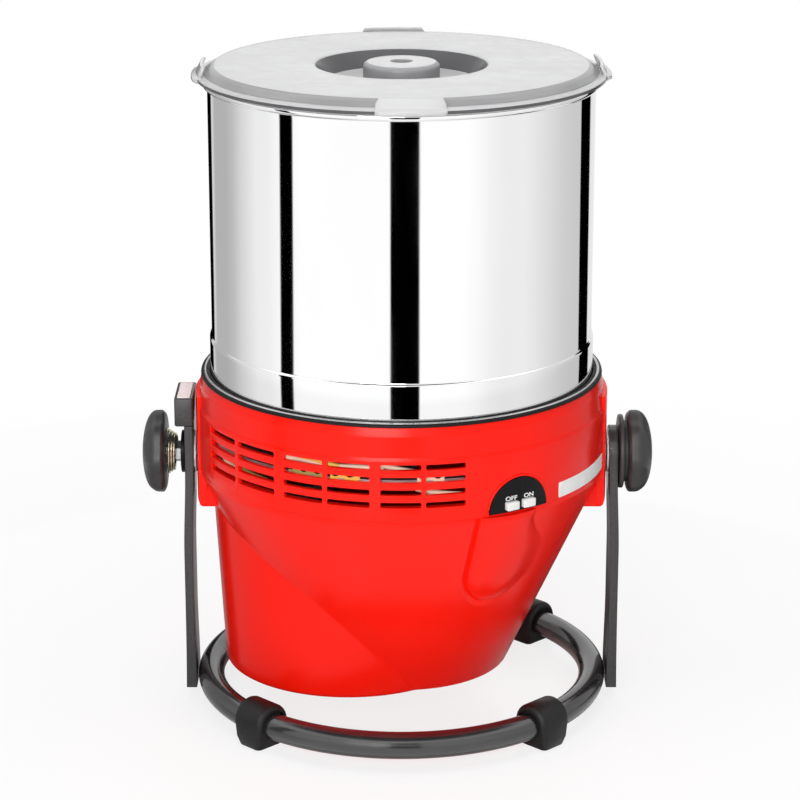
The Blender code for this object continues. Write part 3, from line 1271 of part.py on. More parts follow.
def make_drum_inside():
    """Granite base slab and the steel pillar in the middle of the drum."""
    outer = DRUM_RADIUS - DRUM_SHEET - GAP
    inner = PILLAR_FLANGE_RADIUS + GAP
    chamfer = BASE_CHAMFER
    lower = DRUM_CORNER + GAP
    profile = [
        (inner, BASE_BOTTOM), (outer - lower, BASE_BOTTOM), (outer, BASE_BOTTOM + lower),
        (outer, BASE_TOP - chamfer), (outer - chamfer, BASE_TOP), (inner, BASE_TOP),
    ]
    turned("granite_base", profile, "granite", FINE)
    bore = CENTRE_SHAFT_RADIUS + RUNNING_GAP
    corners = [
        (bore, BASE_BOTTOM, 0), (PILLAR_FLANGE_RADIUS, BASE_BOTTOM, 0),
        (PILLAR_FLANGE_RADIUS, BASE_BOTTOM + PILLAR_FLANGE, PILLAR_FLANGE / 2),
        (PILLAR_RADIUS, BASE_BOTTOM + PILLAR_FLANGE, 0),
        (PILLAR_RADIUS, PILLAR_TOP, DRUM_SHEET), (bore, PILLAR_TOP, DRUM_SHEET),
    ]
    turned("drum_pillar", filleted(corners), "steel", MEDIUM)


def make_rollers():
    """Two granite rollers on bushes and stub axles."""
    axle_start = HOLDER_PAD_REACH + GAP
    head_start = ROLLER_OUTER + GAP
    bush_inner = AXLE_RADIUS + GAP
    bush_outer = bush_inner + ROLLER_BUSH_WALL
    stone_bore = bush_outer + GAP
    chamfer = ROLLER_CHAMFER
    stone = [
        (stone_bore, ROLLER_INNER), (ROLLER_RADIUS - chamfer, ROLLER_INNER),
        (ROLLER_RADIUS, ROLLER_INNER + chamfer), (ROLLER_RADIUS, ROLLER_OUTER - chamfer),
        (ROLLER_RADIUS - chamfer, ROLLER_OUTER), (stone_bore, ROLLER_OUTER),
    ]
    axle = [
        (0, axle_start), (AXLE_HEAD_RADIUS, axle_start),
        (AXLE_HEAD_RADIUS, ROLLER_INNER - GAP), (AXLE_RADIUS, ROLLER_INNER - GAP),
        (AXLE_RADIUS, head_start), (AXLE_HEAD_RADIUS, head_start),
        (AXLE_HEAD_RADIUS, head_start + AXLE_HEAD), (0, head_start + AXLE_HEAD),
    ]
    for side, word in ((-1, "left"), (1, "right")):
        place = Matrix.Translation((0, 0, ROLLER_HEIGHT)) @ along(side)
        turned("roller_" + word, stone, "granite", ROUND, place)
        sleeve("roller_bush_" + word, bush_inner, bush_outer, ROLLER_INNER, ROLLER_OUTER,
               "acetal", SMALL, place)
        turned("roller_axle_" + word, axle, "steel", SMALL, place)


def make_holder():
    """Holder that keeps the rollers still round the pillar while the drum turns."""
    corners = [
        (0, HOLDER_BOTTOM, 0), (HOLDER_RADIUS, HOLDER_BOTTOM, HOLDER_CROWN / 2),
        (HOLDER_RADIUS, HOLDER_SHOULDER, HOLDER_CROWN),
        (HOLDER_NECK_RADIUS, HOLDER_NECK_HEIGHT, HOLDER_CROWN),
        (HOLDER_NECK_RADIUS, HOLDER_TOP, 0), (0, HOLDER_TOP, 0),
    ]
    holder = turned("roller_holder", filleted(corners), "acetal", MEDIUM)
    pads = bar("axle_pads", HOLDER_PAD_RADIUS, -HOLDER_PAD_REACH, HOLDER_PAD_REACH, None, SMALL,
               Matrix.Translation((0, 0, ROLLER_HEIGHT)) @ ALONG_X)
    combine(holder, pads, "UNION")
    bore = PILLAR_RADIUS + RUNNING_GAP
    roof = PILLAR_TOP + RUNNING_GAP
    space = [
        (0, HOLDER_BOTTOM - OVERRUN), (bore, HOLDER_BOTTOM - OVERRUN), (bore, roof),
        (CENTRE_SHAFT_RADIUS + GAP, roof), (CENTRE_SHAFT_RADIUS + GAP, HOLDER_TOP + OVERRUN),
        (0, HOLDER_TOP + OVERRUN),
    ]
    combine(holder, turned("holder_space", space, None, MEDIUM))


def make_scraper():
    """Wiper on an arm from the holder, just clear of the drum's wall."""
    half = SCRAPER_WIDTH / 2
    inside = DRUM_RADIUS - DRUM_SHEET - SCRAPER_WALL_GAP
    reach = math.sqrt(inside ** 2 - half ** 2)
    arm_top = SCRAPER_ARM_HEIGHT + SCRAPER_ARM_THICKNESS
    arm_half = SCRAPER_ARM_WIDTH / 2
    blade = box("scraper", (-half, reach - SCRAPER_BLADE, BASE_TOP + SCRAPER_WALL_GAP),
                (half, reach, arm_top), "acetal")
    arm = box("scraper_arm", (-arm_half, HOLDER_RADIUS + GAP, SCRAPER_ARM_HEIGHT),
              (arm_half, reach - SCRAPER_BLADE / 2, arm_top), None)
    combine(blade, arm, "UNION")


def make_tension():
    """Spring and knob on the centre shaft that press the rollers down."""
    low = HOLDER_TOP + GAP + TENSION_SPRING_WIRE / 2
    high = TENSION_KNOB_BOTTOM - GAP - TENSION_SPRING_WIRE / 2
    pitch = (high - low - 2 * GAP) / TENSION_SPRING_CURLS
    coil("tension_spring", TENSION_SPRING_RADIUS, TENSION_SPRING_WIRE, TENSION_SPRING_CURLS,
         pitch, "steel", Matrix.Translation((0, 0, low + GAP)))
    bore = CENTRE_THREAD_RADIUS + GAP
    floor = CENTRE_SHAFT_TOP + GAP
    edge = TENSION_KNOB_HEIGHT / 6
    corners = [
        (bore, TENSION_KNOB_BOTTOM, 0), (TENSION_KNOB_RADIUS, TENSION_KNOB_BOTTOM, edge),
        (TENSION_KNOB_RADIUS, TENSION_KNOB_TOP, edge),
        (TENSION_KNOB_DIMPLE_RADIUS, TENSION_KNOB_TOP, edge / 2),
        (TENSION_KNOB_DIMPLE_RADIUS, TENSION_KNOB_TOP - TENSION_KNOB_DIMPLE, 0),
        (0, TENSION_KNOB_TOP - TENSION_KNOB_DIMPLE, 0), (0, floor, 0), (bore, floor, 0),
    ]
    turned("tension_knob", filleted(corners), "white_plastic", ROUND)


def make_lid():
    """Clear lid: flange on the drum's bead, raised disc, flared centre hole and four tabs."""
    sheet = LID_SHEET
    corners = [
        (LID_RADIUS, LID_BOTTOM, LID_EDGE / 2), (LID_RADIUS, LID_FLANGE_TOP, LID_EDGE / 2),
        (LID_DISC_FOOT_RADIUS, LID_FLANGE_TOP, LID_EDGE),
        (LID_DISC_RADIUS, LID_TOP, LID_EDGE), (LID_HOLE_RADIUS, LID_TOP, LID_EDGE),
        (LID_HOLE_FOOT_RADIUS, LID_TOP - LID_WELL_DEPTH, LID_EDGE / 2),
        (LID_HOLE_FOOT_RADIUS + sheet, LID_TOP - LID_WELL_DEPTH, 0),
        (LID_HOLE_RADIUS + sheet, LID_TOP - sheet, LID_EDGE),
        (LID_DISC_RADIUS - sheet, LID_TOP - sheet, LID_EDGE),
        (LID_DISC_FOOT_RADIUS - sheet, LID_BOTTOM, 0),
    ]
    turn = Matrix.Rotation(LID_TURN, 4, "Z")
    lid = turned("lid", filleted(corners), "clear_plastic", FINE, turn)
    for index in range(4):
        combine(lid, lid_tab(index), "UNION")


def lid_tab(index):
    """One finger tab: a leaning upstand with a small lip outside the flange."""
    middle = (LID_BOTTOM + LID_FLANGE_TOP) / 2
    outer = LID_RADIUS + TAB_REACH
    top = LID_FLANGE_TOP + TAB_RISE
    heel = LID_RADIUS - TAB_THICKNESS
    section = [
        (heel, middle), (outer - TAB_LIP, LID_BOTTOM - TAB_LIP / 2), (outer, LID_BOTTOM),
        (outer, LID_FLANGE_TOP), (LID_RADIUS, LID_FLANGE_TOP + TAB_LIP / 2),
        (LID_RADIUS - TAB_LEAN + TAB_THICKNESS / 2, top),
        (LID_RADIUS - TAB_LEAN - TAB_THICKNESS / 2, top),
        (heel, LID_FLANGE_TOP + TAB_LIP / 2),
    ]
    steps = 4
    rings = []
    for step in range(steps + 1):
        angle = math.pi * index / 2 + LID_TURN
        angle += TAB_HALF_ANGLE * (2 * step / steps - 1)
        rings.append([(radius * math.cos(angle), radius * math.sin(angle), height)
                      for radius, height in section])
    return loft("lid_tab_" + str(index), rings, None)


TILTING = (
    "upper_housing", "lower_housing", "dust_seal", "switch_panel", "switch_body", "cord_gland",
    "chassis", "centre_shaft", "motor_stator", "motor_end_shield", "motor_stud_front",
    "motor_stud_rear", "windings_upper", "windings_lower", "drive_belt", "pivot_stud_left",
    "pivot_stud_right", "thrust_washer_left", "thrust_washer_right", "stud_nut_left",
    "lock_spring", "roller_holder", "roller_axle_left", "roller_axle_right", "scraper",
    "tension_spring",
)


def hang_on_tilt_axis():
    """Parent the pieces that tip with the housing to an empty on the pivots' axis."""
    axis = bpy.data.objects.new("tilt_axis", None)
    axis.location = (0, 0, PIVOT_HEIGHT)
    MODEL.objects.link(axis)
    for name in TILTING:
        piece = bpy.data.objects[name]
        piece.parent = axis
        piece.matrix_parent_inverse = Matrix.Translation((0, 0, -PIVOT_HEIGHT))


clear_scene()
MODEL = new_collection("chocolate_stone_grinder")
CUTTERS = new_collection("cutters")

make_ring()
make_feet()
make_upright("upright_left", -1, UPRIGHT_LEFT_TOP, False)
make_upright("upright_right", 1, PIVOT_HEIGHT + UPRIGHT_WIDTH / 2, True)
make_block()
make_pivots()
make_knobs()
make_upper_housing()
make_lower_housing()
make_seal()
make_switch()
make_gland()
make_chassis()
make_centre_shaft()
make_motor()
make_belt()
make_drum_drive()
make_drum()
make_drum_inside()
make_rollers()
make_holder()
make_scraper()
make_tension()
make_lid()
hang_on_tilt_axis()
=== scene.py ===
"""Looks of the tilting stone grinder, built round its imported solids.

Lengths are in millimetres, the lamps' in metres.
Azimuth 0 is the front of the machine and grows towards the viewer's right.
"""

import json
from math import atan, atan2, copysign, cos, degrees, pi, radians, sin, sqrt, tan

import bmesh
import bpy
from mathutils import Matrix, Vector

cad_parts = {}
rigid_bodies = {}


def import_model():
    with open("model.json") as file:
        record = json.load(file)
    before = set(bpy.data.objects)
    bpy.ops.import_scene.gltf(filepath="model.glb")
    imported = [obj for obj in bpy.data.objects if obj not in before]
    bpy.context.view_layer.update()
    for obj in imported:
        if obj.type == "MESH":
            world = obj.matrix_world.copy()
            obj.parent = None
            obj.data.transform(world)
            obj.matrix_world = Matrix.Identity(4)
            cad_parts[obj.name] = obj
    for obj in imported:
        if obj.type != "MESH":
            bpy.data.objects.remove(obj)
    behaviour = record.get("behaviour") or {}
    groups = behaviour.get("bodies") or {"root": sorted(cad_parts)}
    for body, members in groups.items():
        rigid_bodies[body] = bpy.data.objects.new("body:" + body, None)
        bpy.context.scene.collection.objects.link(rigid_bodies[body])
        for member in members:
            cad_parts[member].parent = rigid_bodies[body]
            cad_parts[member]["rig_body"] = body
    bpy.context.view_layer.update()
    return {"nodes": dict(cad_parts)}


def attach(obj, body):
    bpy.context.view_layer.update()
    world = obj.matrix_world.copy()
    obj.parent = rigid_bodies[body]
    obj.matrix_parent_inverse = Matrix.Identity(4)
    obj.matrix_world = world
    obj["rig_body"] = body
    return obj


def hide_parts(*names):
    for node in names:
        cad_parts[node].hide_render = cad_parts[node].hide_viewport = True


MM = 0.001

# Camera, fitted to the photograph
CAMERA_DISTANCE = 1620
CAMERA_HEIGHT = 687
CAMERA_PITCH = 17.09
CAMERA_LENS = 125.64
CAMERA_SHIFT = -0.001875

# Housing
BAND = 123.2  # radius of the vent band
BAND_INNER = 120.2
BAND_LOW = 153.5
BAND_TOP = 210.9
LEDGE = 192
PIVOT = 156.5
STUD_HOLE = 4.3
GLAND_HOLE = 6.1
GLAND_HEIGHT = 168
LUG_FOOT = 127.5
LUG_HALF = 25
LUG_TAPER = 2
LUG_PAD = 124.5  # radius of the pad on a lug
LUG_PAD_TOP = 197.9
LUG_PAD_ANGLE = 10.64
LUG_CORE = 106  # inner radius of the block behind a lug
LUG_CORE_TOP = 149
LUG_ROUND = 4.2
VENTS = ((-66, -36.5), (-33.3, -8.5), (-5.6, 17.3))
SLOT_ROWS = (186.4, 178.9, 171.4, 163.9)
SLOT_HEIGHT = 3.4
RIB = 2.8

# Switch and label
SWITCH_AZIMUTH = 33.3
SWITCH_LOW = 154.6
SWITCH_RADIUS = 20
SWITCH_PLAY = 0.3
KEY_LOW = 156
KEY_SIZE = (8.3, 4.9)
KEY_OFFSET = 5.7
KEY_PLAY = 0.3
KEY_DEPTH = 11
KEY_FACE = 3
LETTERS = (6.1, 7.1)  # middle of a word, across and up
LETTER_SIZE = 3.6
LETTER_WIDTH = 1.25
LABEL_AZIMUTH = 62.6
LABEL_HEIGHT = 155.6
LABEL = (-31.5, 31.5, -0.8, 8.4)

# Lower body
FLOOR = 25.7
FLOOR_CORNER = 2.6
SEAM = 153.2
SPIGOT = 119.9
SPIGOT_TOP = 161.7
LIP = 122.7
WALL = 3
LEVEL = 100  # height at which the cone and the can are measured
CONE = 99.3
CONE_SLOPE = 0.461
CAN_X = -32
CAN = 81
CAN_SLOPE = 0.057
CREASE = 0.9
SHOULDER_START = 38.5  # degrees from the can's side
SHOULDER_SPAN = 10
SHOULDER_FOOT = 111
SHOULDER_TOP = 129
SHOULDER_FALL = 0.83
SHOULDER_LEAN = 0.38
SHOULDER_BLEND = 1.5
BOSS_AZIMUTH = 32
BOSS_LEFT = 10.4  # half widths of the boss in degrees
BOSS_RIGHT = 7
BOSS_SPREAD = 10
BOSS_TOP = 148
BOSS_FADE = 28
BOSS_FOOT = 112
BOSS_ROUND = 21.5
BOSS_RISE = 3.4
GROOVE = 2.1
GROOVE_SHARE = 0.19
AIR_SLOT = (-1.5, 1.5, -26, 26)
AIR_SLOTS = 7
AIR_SLOT_X = -70
AIR_SLOT_PITCH = 8

# Azimuths of the lower body's sections: from, to and step
BODY_TURNS = ((-180, -128, 1.3), (-128, -36, 0.4), (-36, 18, 0.6), (18, 26, 0.2), (26, 50, 0.4),
              (50, 180, 1.3))

# Stand
RING = 118.5
RING_TUBE = 8
RING_HEIGHT = 14
FEET = (("front_right", 45), ("rear_right", 135), ("rear_left", 225), ("front_left", 315))
FOOT_TOP = 27.5
FOOT_HALF = 12.2
FOOT_LENGTH = 23
FOOT_TUCK = 3.6
FOOT_RECESS = 9.6
UPRIGHTS = (("left", -1, 177.2, 1), ("right", 1, 172.5, 16))
UPRIGHT_LOW = 7
UPRIGHT_HALF = 16
UPRIGHT_INNER = 126
UPRIGHT_SHEET = 5.2
UPRIGHT_HOLE = 7.1

# Shape of an upright downward: gain, the height it starts at and the drop it comes in over
UPRIGHT_LEAN = (1.6, 150, 55)
UPRIGHT_RETURN = (0.8, 60, 50)
UPRIGHT_SWELL = (1.3, 60, 60)

STOP = (-136.7, -125.4, -18, 18)
STOP_RECESS = (-135.3, -127.1, -16.2, 16.2)
STOP_PAD = (-135.1, -127.3, -16, 16)
STOP_TOP = 195.1

# Ends of a foot, from the tip inward: share of the half length and inset
FOOT_ENDS = ((1, 2.6), (0.965, 1.7), (0.91, 0.9), (0.84, 0.3), (0.75, 0))

# Hand knobs, measured out from the middle of the machine
KNOB = 25.8
LOCK_GRIP = (143.3, 14)
CLAMP_GRIP = (136.9, 15.4)
DOME_SHARE = 0.3
DOME_DEPTH = 0.9
SPRING_CURLS = 3.4
SPRING_START = (13.4, 142.4)  # radius and distance out
SPRING_END = (10.2, 137.2)

# Drum and lid
DRUM = 114
DRUM_INNER = 112.9
DRUM_BEAD = (114.6, 385.8, 2.4)
DRUM_STEP = 233.9
DRUM_LOW = 198
DRUM_FLOOR = 202.6
DRUM_BORE = 13
SKIRT = 115.2
STEP_CURVE = ((0, 0), (0.1, -0.6), (0.45, -1), (0.9, -1.4), (1.15, -1.9), (1.2, -2.7))
LID_FLANGE = 120.2
LID_LOW = 388.5
LID_TOP = 395.4
LID_SHEET = 1.7
LID_WALL = 109.8
WELL_TOP = 51
WELL = 45
WELL_FLOOR = 384.9
LID_HOLE = 23.9
TAB_MIDDLE = (119.2, 389.6)
TAB_SPAN = 9.4
TAB_TURN = 2.5

# Bands of painted shade on the lid, in darker copies of its plastic: name, finish, line and offset
# of the back
LID_SHADE_BANDS = (
    ("wall", "smoke", ((115.8, 391.5), (112.9, 393.5), (110, 395.45)), (-0.5, -0.15)),
    ("edge", "tint", ((120, 388.1), (120.5, 388.5), (120.5, 390)), (-0.5, -0.15)),
    ("well", "tint", ((50.4, 394.7), (47.6, 390), (45.1, 385.2)), (0.4, -0.3)),
)

# Sleeved leads behind the vents: name, finish, azimuths, heights and phase of the sway
LEADS = (
    ("upper", "cream", -35, -5, 185, 184, 5),
    ("upper_back", "amber", -30, -12, 186.8, 183.6, 10),
    ("loop", "cream", -66, -48, 171, 167, 4),
    ("loop_back", "olive", -58, -40, 172, 166, 9),
    ("tail", "cream", -6, 3, 186, 183.4, 4),
    ("tail_end", "cream", 4, 17, 172.6, 167, 8),
)
LEAD = 1.6
LEAD_REACH = 118

# Tapes on the edge of the chassis plate: finish, azimuth and half length
TAPES = (("olive", -26.5, 13), ("amber", -15.5, 9), ("cream", 8, 8))
TAPE_HEIGHT = 176.8


def new_mesh(name, points, faces):
    mesh = bpy.data.meshes.new(name)
    mesh.from_pydata([(x * MM, y * MM, z * MM) for x, y, z in points], [], faces)
    mesh.validate()
    return mesh


def add(name, data, matrix=None):
    """A new object in the scene. The matrix is for a mesh, in millimetres."""
    obj = bpy.data.objects.new(name, data)
    bpy.context.scene.collection.objects.link(obj)
    if matrix:
        moved = matrix.copy()
        moved.translation = moved.translation * MM
        data.transform(moved)
    return obj


def tidy_mesh(obj, dist=0.004, angle=35):
    """Weld coincident points, point the faces outward and shade smooth up to an angle."""
    shape = bmesh.new()
    shape.from_mesh(obj.data)
    bmesh.ops.remove_doubles(shape, verts=shape.verts, dist=dist * MM)
    bmesh.ops.recalc_face_normals(shape, faces=shape.faces)
    shape.to_mesh(obj.data)
    shape.free()
    shade(obj, angle)
    return obj


def shade(obj, angle=35):
    obj.data.shade_smooth()
    obj.data.set_sharp_from_angle(angle=radians(angle))
    return obj


def evaluated_mesh(obj):
    graph = bpy.context.evaluated_depsgraph_get()
    graph.update()
    return bpy.data.meshes.new_from_object(obj.evaluated_get(graph))


def apply_modifiers(obj):
    mesh = evaluated_mesh(obj)
    obj.modifiers.clear()
    obj.data = mesh


def cut(obj, *cutters, operation="DIFFERENCE"):
    """Boolean the cutters with obj and remove them."""
    for cutter in cutters:
        boolean = obj.modifiers.new("cut", "BOOLEAN")
        boolean.operation = operation
        boolean.solver = "EXACT"
        boolean.object = cutter
    apply_modifiers(obj)
    for cutter in cutters:
        bpy.data.objects.remove(cutter, do_unlink=True)


def soften(obj, width, segments=2, angle=40):
    """Round the sharp edges."""
    bevel = obj.modifiers.new("soften", "BEVEL")
    bevel.width = width * MM
    bevel.segments = segments
    bevel.limit_method = "ANGLE"
    bevel.angle_limit = radians(angle)
    apply_modifiers(obj)
    return shade(obj, angle)


def arc(cx, cy, radius, first, last, steps):
    """Points on an arc, angles in degrees."""
    points = []
    for step in range(steps + 1):
        angle = radians(first + (last - first) * step / steps)
        points.append((cx + radius * cos(angle), cy + radius * sin(angle)))
    return points


def oval(cx, cy, across, up, steps):
    """Points round an oval."""
    return [(cx + across * cos(2 * pi * k / steps),
             cy + up * sin(2 * pi * k / steps)) for k in range(steps)]


def filleted(corners, closed=True, steps=4):
    """Round the corners of an outline given as (x, y, radius)."""
    points = []
    count = len(corners)
    for index, (x, y, radius) in enumerate(corners):
        corner = Vector((x, y))
        if radius == 0 or (not closed and index in (0, count - 1)):
            points.append((x, y))
            continue
        before = Vector(corners[index - 1][:2]) - corner
        after = Vector(corners[(index + 1) % count][:2]) - corner
        half = before.angle(after) / 2
        reach = min(radius / tan(half), min(before.length, after.length) / 2)
        true_radius = reach * tan(half)
        start = corner + before.normalized() * reach
        bisector = (before.normalized() + after.normalized()).normalized()
        centre = corner + bisector * true_radius / sin(half)
        swing = (corner + after.normalized() * reach - centre).angle_signed(start - centre)
        first = degrees(atan2(start.y - centre.y, start.x - centre.x))
        points += arc(centre.x, centre.y, true_radius, first, first + degrees(swing), steps)
    return points


def rounded_box(left, right, low, high, radius, steps=4):
    """Outline of a rectangle with round corners."""
    return filleted([(left, low, radius), (right, low, radius), (right, high, radius),
                     (left, high, radius)], steps=steps)


def skin(name, rings, matrix=None, angle=35):
    """Skin rings of points, all of one count, and cap both ends."""
    points = [point for ring in rings for point in ring]
    count = len(rings[0])
    faces = []
    for row in range(len(rings) - 1):
        for index in range(count):
            following = (index + 1) % count
            faces.append((row * count + index, row * count + following,
                          (row + 1) * count + following, (row + 1) * count + index))
    faces.append(tuple(range(count))[::-1])
    faces.append(tuple(range((len(rings) - 1) * count, len(rings) * count)))
    return tidy_mesh(add(name, new_mesh(name, points, faces), matrix), angle=angle)


def skin_round(name, sections, closed=True, matrix=None, dist=0.004, angle=35):
    """Skin sections that go once round the axis, the last joined to the first."""
    count = len(sections[0])
    points = [point for section in sections for point in section]
    faces = []
    for step in range(len(sections)):
        here = step * count
        there = (step + 1) % len(sections) * count
        for index in range(count if closed else count - 1):
            following = (index + 1) % count
            faces.append((here + index, there + index, there + following, here + following))
    return tidy_mesh(add(name, new_mesh(name, points, faces), matrix), dist, angle)


def turned(name, profile, steps=192, matrix=None, angle=35):
    """Turn a closed profile of (radius, height) about Z."""
    sections = []
    for step in range(steps):
        turn = 2 * pi * step / steps
        sections.append([(r * cos(turn), r * sin(turn), z) for r, z in profile])
    return skin_round(name, sections, matrix=matrix, angle=angle)


def prism(name, outline, low, high, matrix=None):
    """Extrude an outline along Z."""
    return skin(name, [[(x, y, z) for x, y in outline] for z in (low, high)], matrix)


def facing(azimuth, radius, height):
    """Frame on the housing's side: x along the wall, y up, z outward."""
    sine, cosine = sin(radians(azimuth)), cos(radians(azimuth))
    turn = Matrix(((cosine, 0, sine, 0), (sine, 0, -cosine, 0), (0, 1, 0, 0), (0, 0, 0, 1)))
    return Matrix.Translation((radius * sine, -radius * cosine, height)) @ turn


def wrapped(x, y, out, azimuth=SWITCH_AZIMUTH, height=SWITCH_LOW):
    """The point at x along the wall and y up from a place on the band, out from its face."""
    angle = radians(azimuth) + x / BAND
    reach = BAND + out
    return (reach * sin(angle), -reach * cos(angle), height + y)


def along(side):
    """Rotation that takes +Z to +X, or to -X on the left side, at the pivots' height."""
    turn = Matrix.Rotation(radians(90 * side), 4, "Y")
    return Matrix.Translation((0, 0, PIVOT)) @ turn


def bend(obj, cuts, axis, moved):
    """Slice a piece across an axis at the cuts and move each of its points."""
    shape = bmesh.new()
    shape.from_mesh(obj.data)
    for at in cuts:
        geometry = shape.verts[:] + shape.edges[:] + shape.faces[:]
        bmesh.ops.bisect_plane(shape, geom=geometry, plane_co=[at * MM * k for k in axis],
                               plane_no=axis)
    for vertex in shape.verts:
        spot = moved(*[value / MM for value in vertex.co])
        vertex.co = [value * MM for value in spot]
    shape.to_mesh(obj.data)
    shape.free()


def smoothstep(value):
    value = min(1.0, max(0.0, value))
    return value * value * (3 - 2 * value)


# Materials


def nodes_of(name):
    made = bpy.data.materials.new(name)
    made.use_nodes = True
    tree = made.node_tree
    return made, tree, tree.nodes["Principled BSDF"]


def new_node(tree, kind):
    return tree.nodes.new("ShaderNode" + kind)


def noise(tree, scale, detail=2.0, roughness=0.5, stretch=(1, 1, 1)):
    """A noise texture in object space, its scale in features per metre."""
    place = new_node(tree, "TexCoord")
    mapping = new_node(tree, "Mapping")
    mapping.inputs["Scale"].default_value = stretch
    texture = new_node(tree, "TexNoise")
    texture.inputs["Scale"].default_value = scale
    texture.inputs["Detail"].default_value = detail
    texture.inputs["Roughness"].default_value = roughness
    tree.links.new(place.outputs["Object"], mapping.inputs["Vector"])
    tree.links.new(mapping.outputs["Vector"], texture.inputs["Vector"])
    return texture.outputs["Fac"]


def mapped(tree, value, low, high, start=0.3, end=0.7):
    made = new_node(tree, "MapRange")
    made.inputs["From Min"].default_value = start
    made.inputs["From Max"].default_value = end
    made.inputs["To Min"].default_value = low
    made.inputs["To Max"].default_value = high
    tree.links.new(value, made.inputs["Value"])
    return made.outputs["Result"]


def blended(tree, value, colours):
    """A colour ramp of (place, colour)."""
    ramp = new_node(tree, "ValToRGB")
    elements = ramp.color_ramp.elements
    while len(elements) < len(colours):
        elements.new(0.5)
    for element, (place, colour) in zip(elements, colours):
        element.position = place
        element.color = (*colour, 1)
    tree.links.new(value, ramp.inputs["Fac"])
    return ramp.outputs["Color"]


def combined(tree, operation, first, second):
    """A math node of two values."""
    made = new_node(tree, "Math")
    made.operation = operation
    tree.links.new(first, made.inputs[0])
    tree.links.new(second, made.inputs[1])
    return made.outputs[0]


def mixed(tree, share, first, second, socket):
    """Mix two shaders by a share into a socket."""
    mix = new_node(tree, "MixShader")
    tree.links.new(share, mix.inputs["Fac"])
    tree.links.new(first.outputs[0], mix.inputs[1])
    tree.links.new(second.outputs[0], mix.inputs[2])
    tree.links.new(mix.outputs[0], socket)


def bumped(tree, shader, value, depth):
    bump = new_node(tree, "Bump")
    bump.inputs["Distance"].default_value = depth * MM
    tree.links.new(value, bump.inputs["Height"])
    tree.links.new(bump.outputs["Normal"], shader.inputs["Normal"])


def surface(name, colour, roughness, metallic=0.0, spread=0.06, patch=40, grain=1400,
            depth=0.03, uneven=0.05, coat=0.0, stretch=(1, 1, 1), specular=0.5):
    """A moulded, painted or machined surface: tone drift, uneven gloss and a fine grain."""
    made, tree, shader = nodes_of(name)
    darker = tuple(c * (1 - spread) for c in colour)
    lighter = tuple(min(1, c * (1 + spread)) for c in colour)
    tone = noise(tree, patch, 3)
    tree.links.new(blended(tree, tone, ((0.3, darker), (0.7, lighter))),
                   shader.inputs["Base Color"])
    gloss = noise(tree, patch * 2.3, 3, 0.6, stretch)
    tree.links.new(mapped(tree, gloss, max(0.0, roughness - uneven),
                          roughness + uneven), shader.inputs["Roughness"])
    bumped(tree, shader, noise(tree, grain, 2, 0.6, stretch), depth)
    shader.inputs["Metallic"].default_value = metallic
    shader.inputs["Coat Weight"].default_value = coat
    shader.inputs["Coat Roughness"].default_value = 0.08
    shader.inputs["Specular IOR Level"].default_value = specular
    return made


def stone(name):
    """Dark speckled granite, honed."""
    made, tree, shader = nodes_of(name)
    place = new_node(tree, "TexCoord")
    crystals = new_node(tree, "TexVoronoi")
    crystals.inputs["Scale"].default_value = 420
    tree.links.new(place.outputs["Object"], crystals.inputs["Vector"])
    grey = new_node(tree, "SeparateColor")
    tree.links.new(crystals.outputs["Color"], grey.inputs["Color"])
    colours = ((0.0, (0.030, 0.031, 0.034)), (0.35, (0.085, 0.086, 0.090)),
               (0.62, (0.20, 0.20, 0.205)), (0.86, (0.42, 0.41, 0.40)),
               (0.95, (0.62, 0.61, 0.60)))
    tree.links.new(blended(tree, grey.outputs["Red"], colours), shader.inputs["Base Color"])
    tree.links.new(mapped(tree, grey.outputs["Green"], 0.35, 0.62, 0, 1),
                   shader.inputs["Roughness"])
    bumped(tree, shader, noise(tree, 700, 4, 0.7), 0.05)
    return made


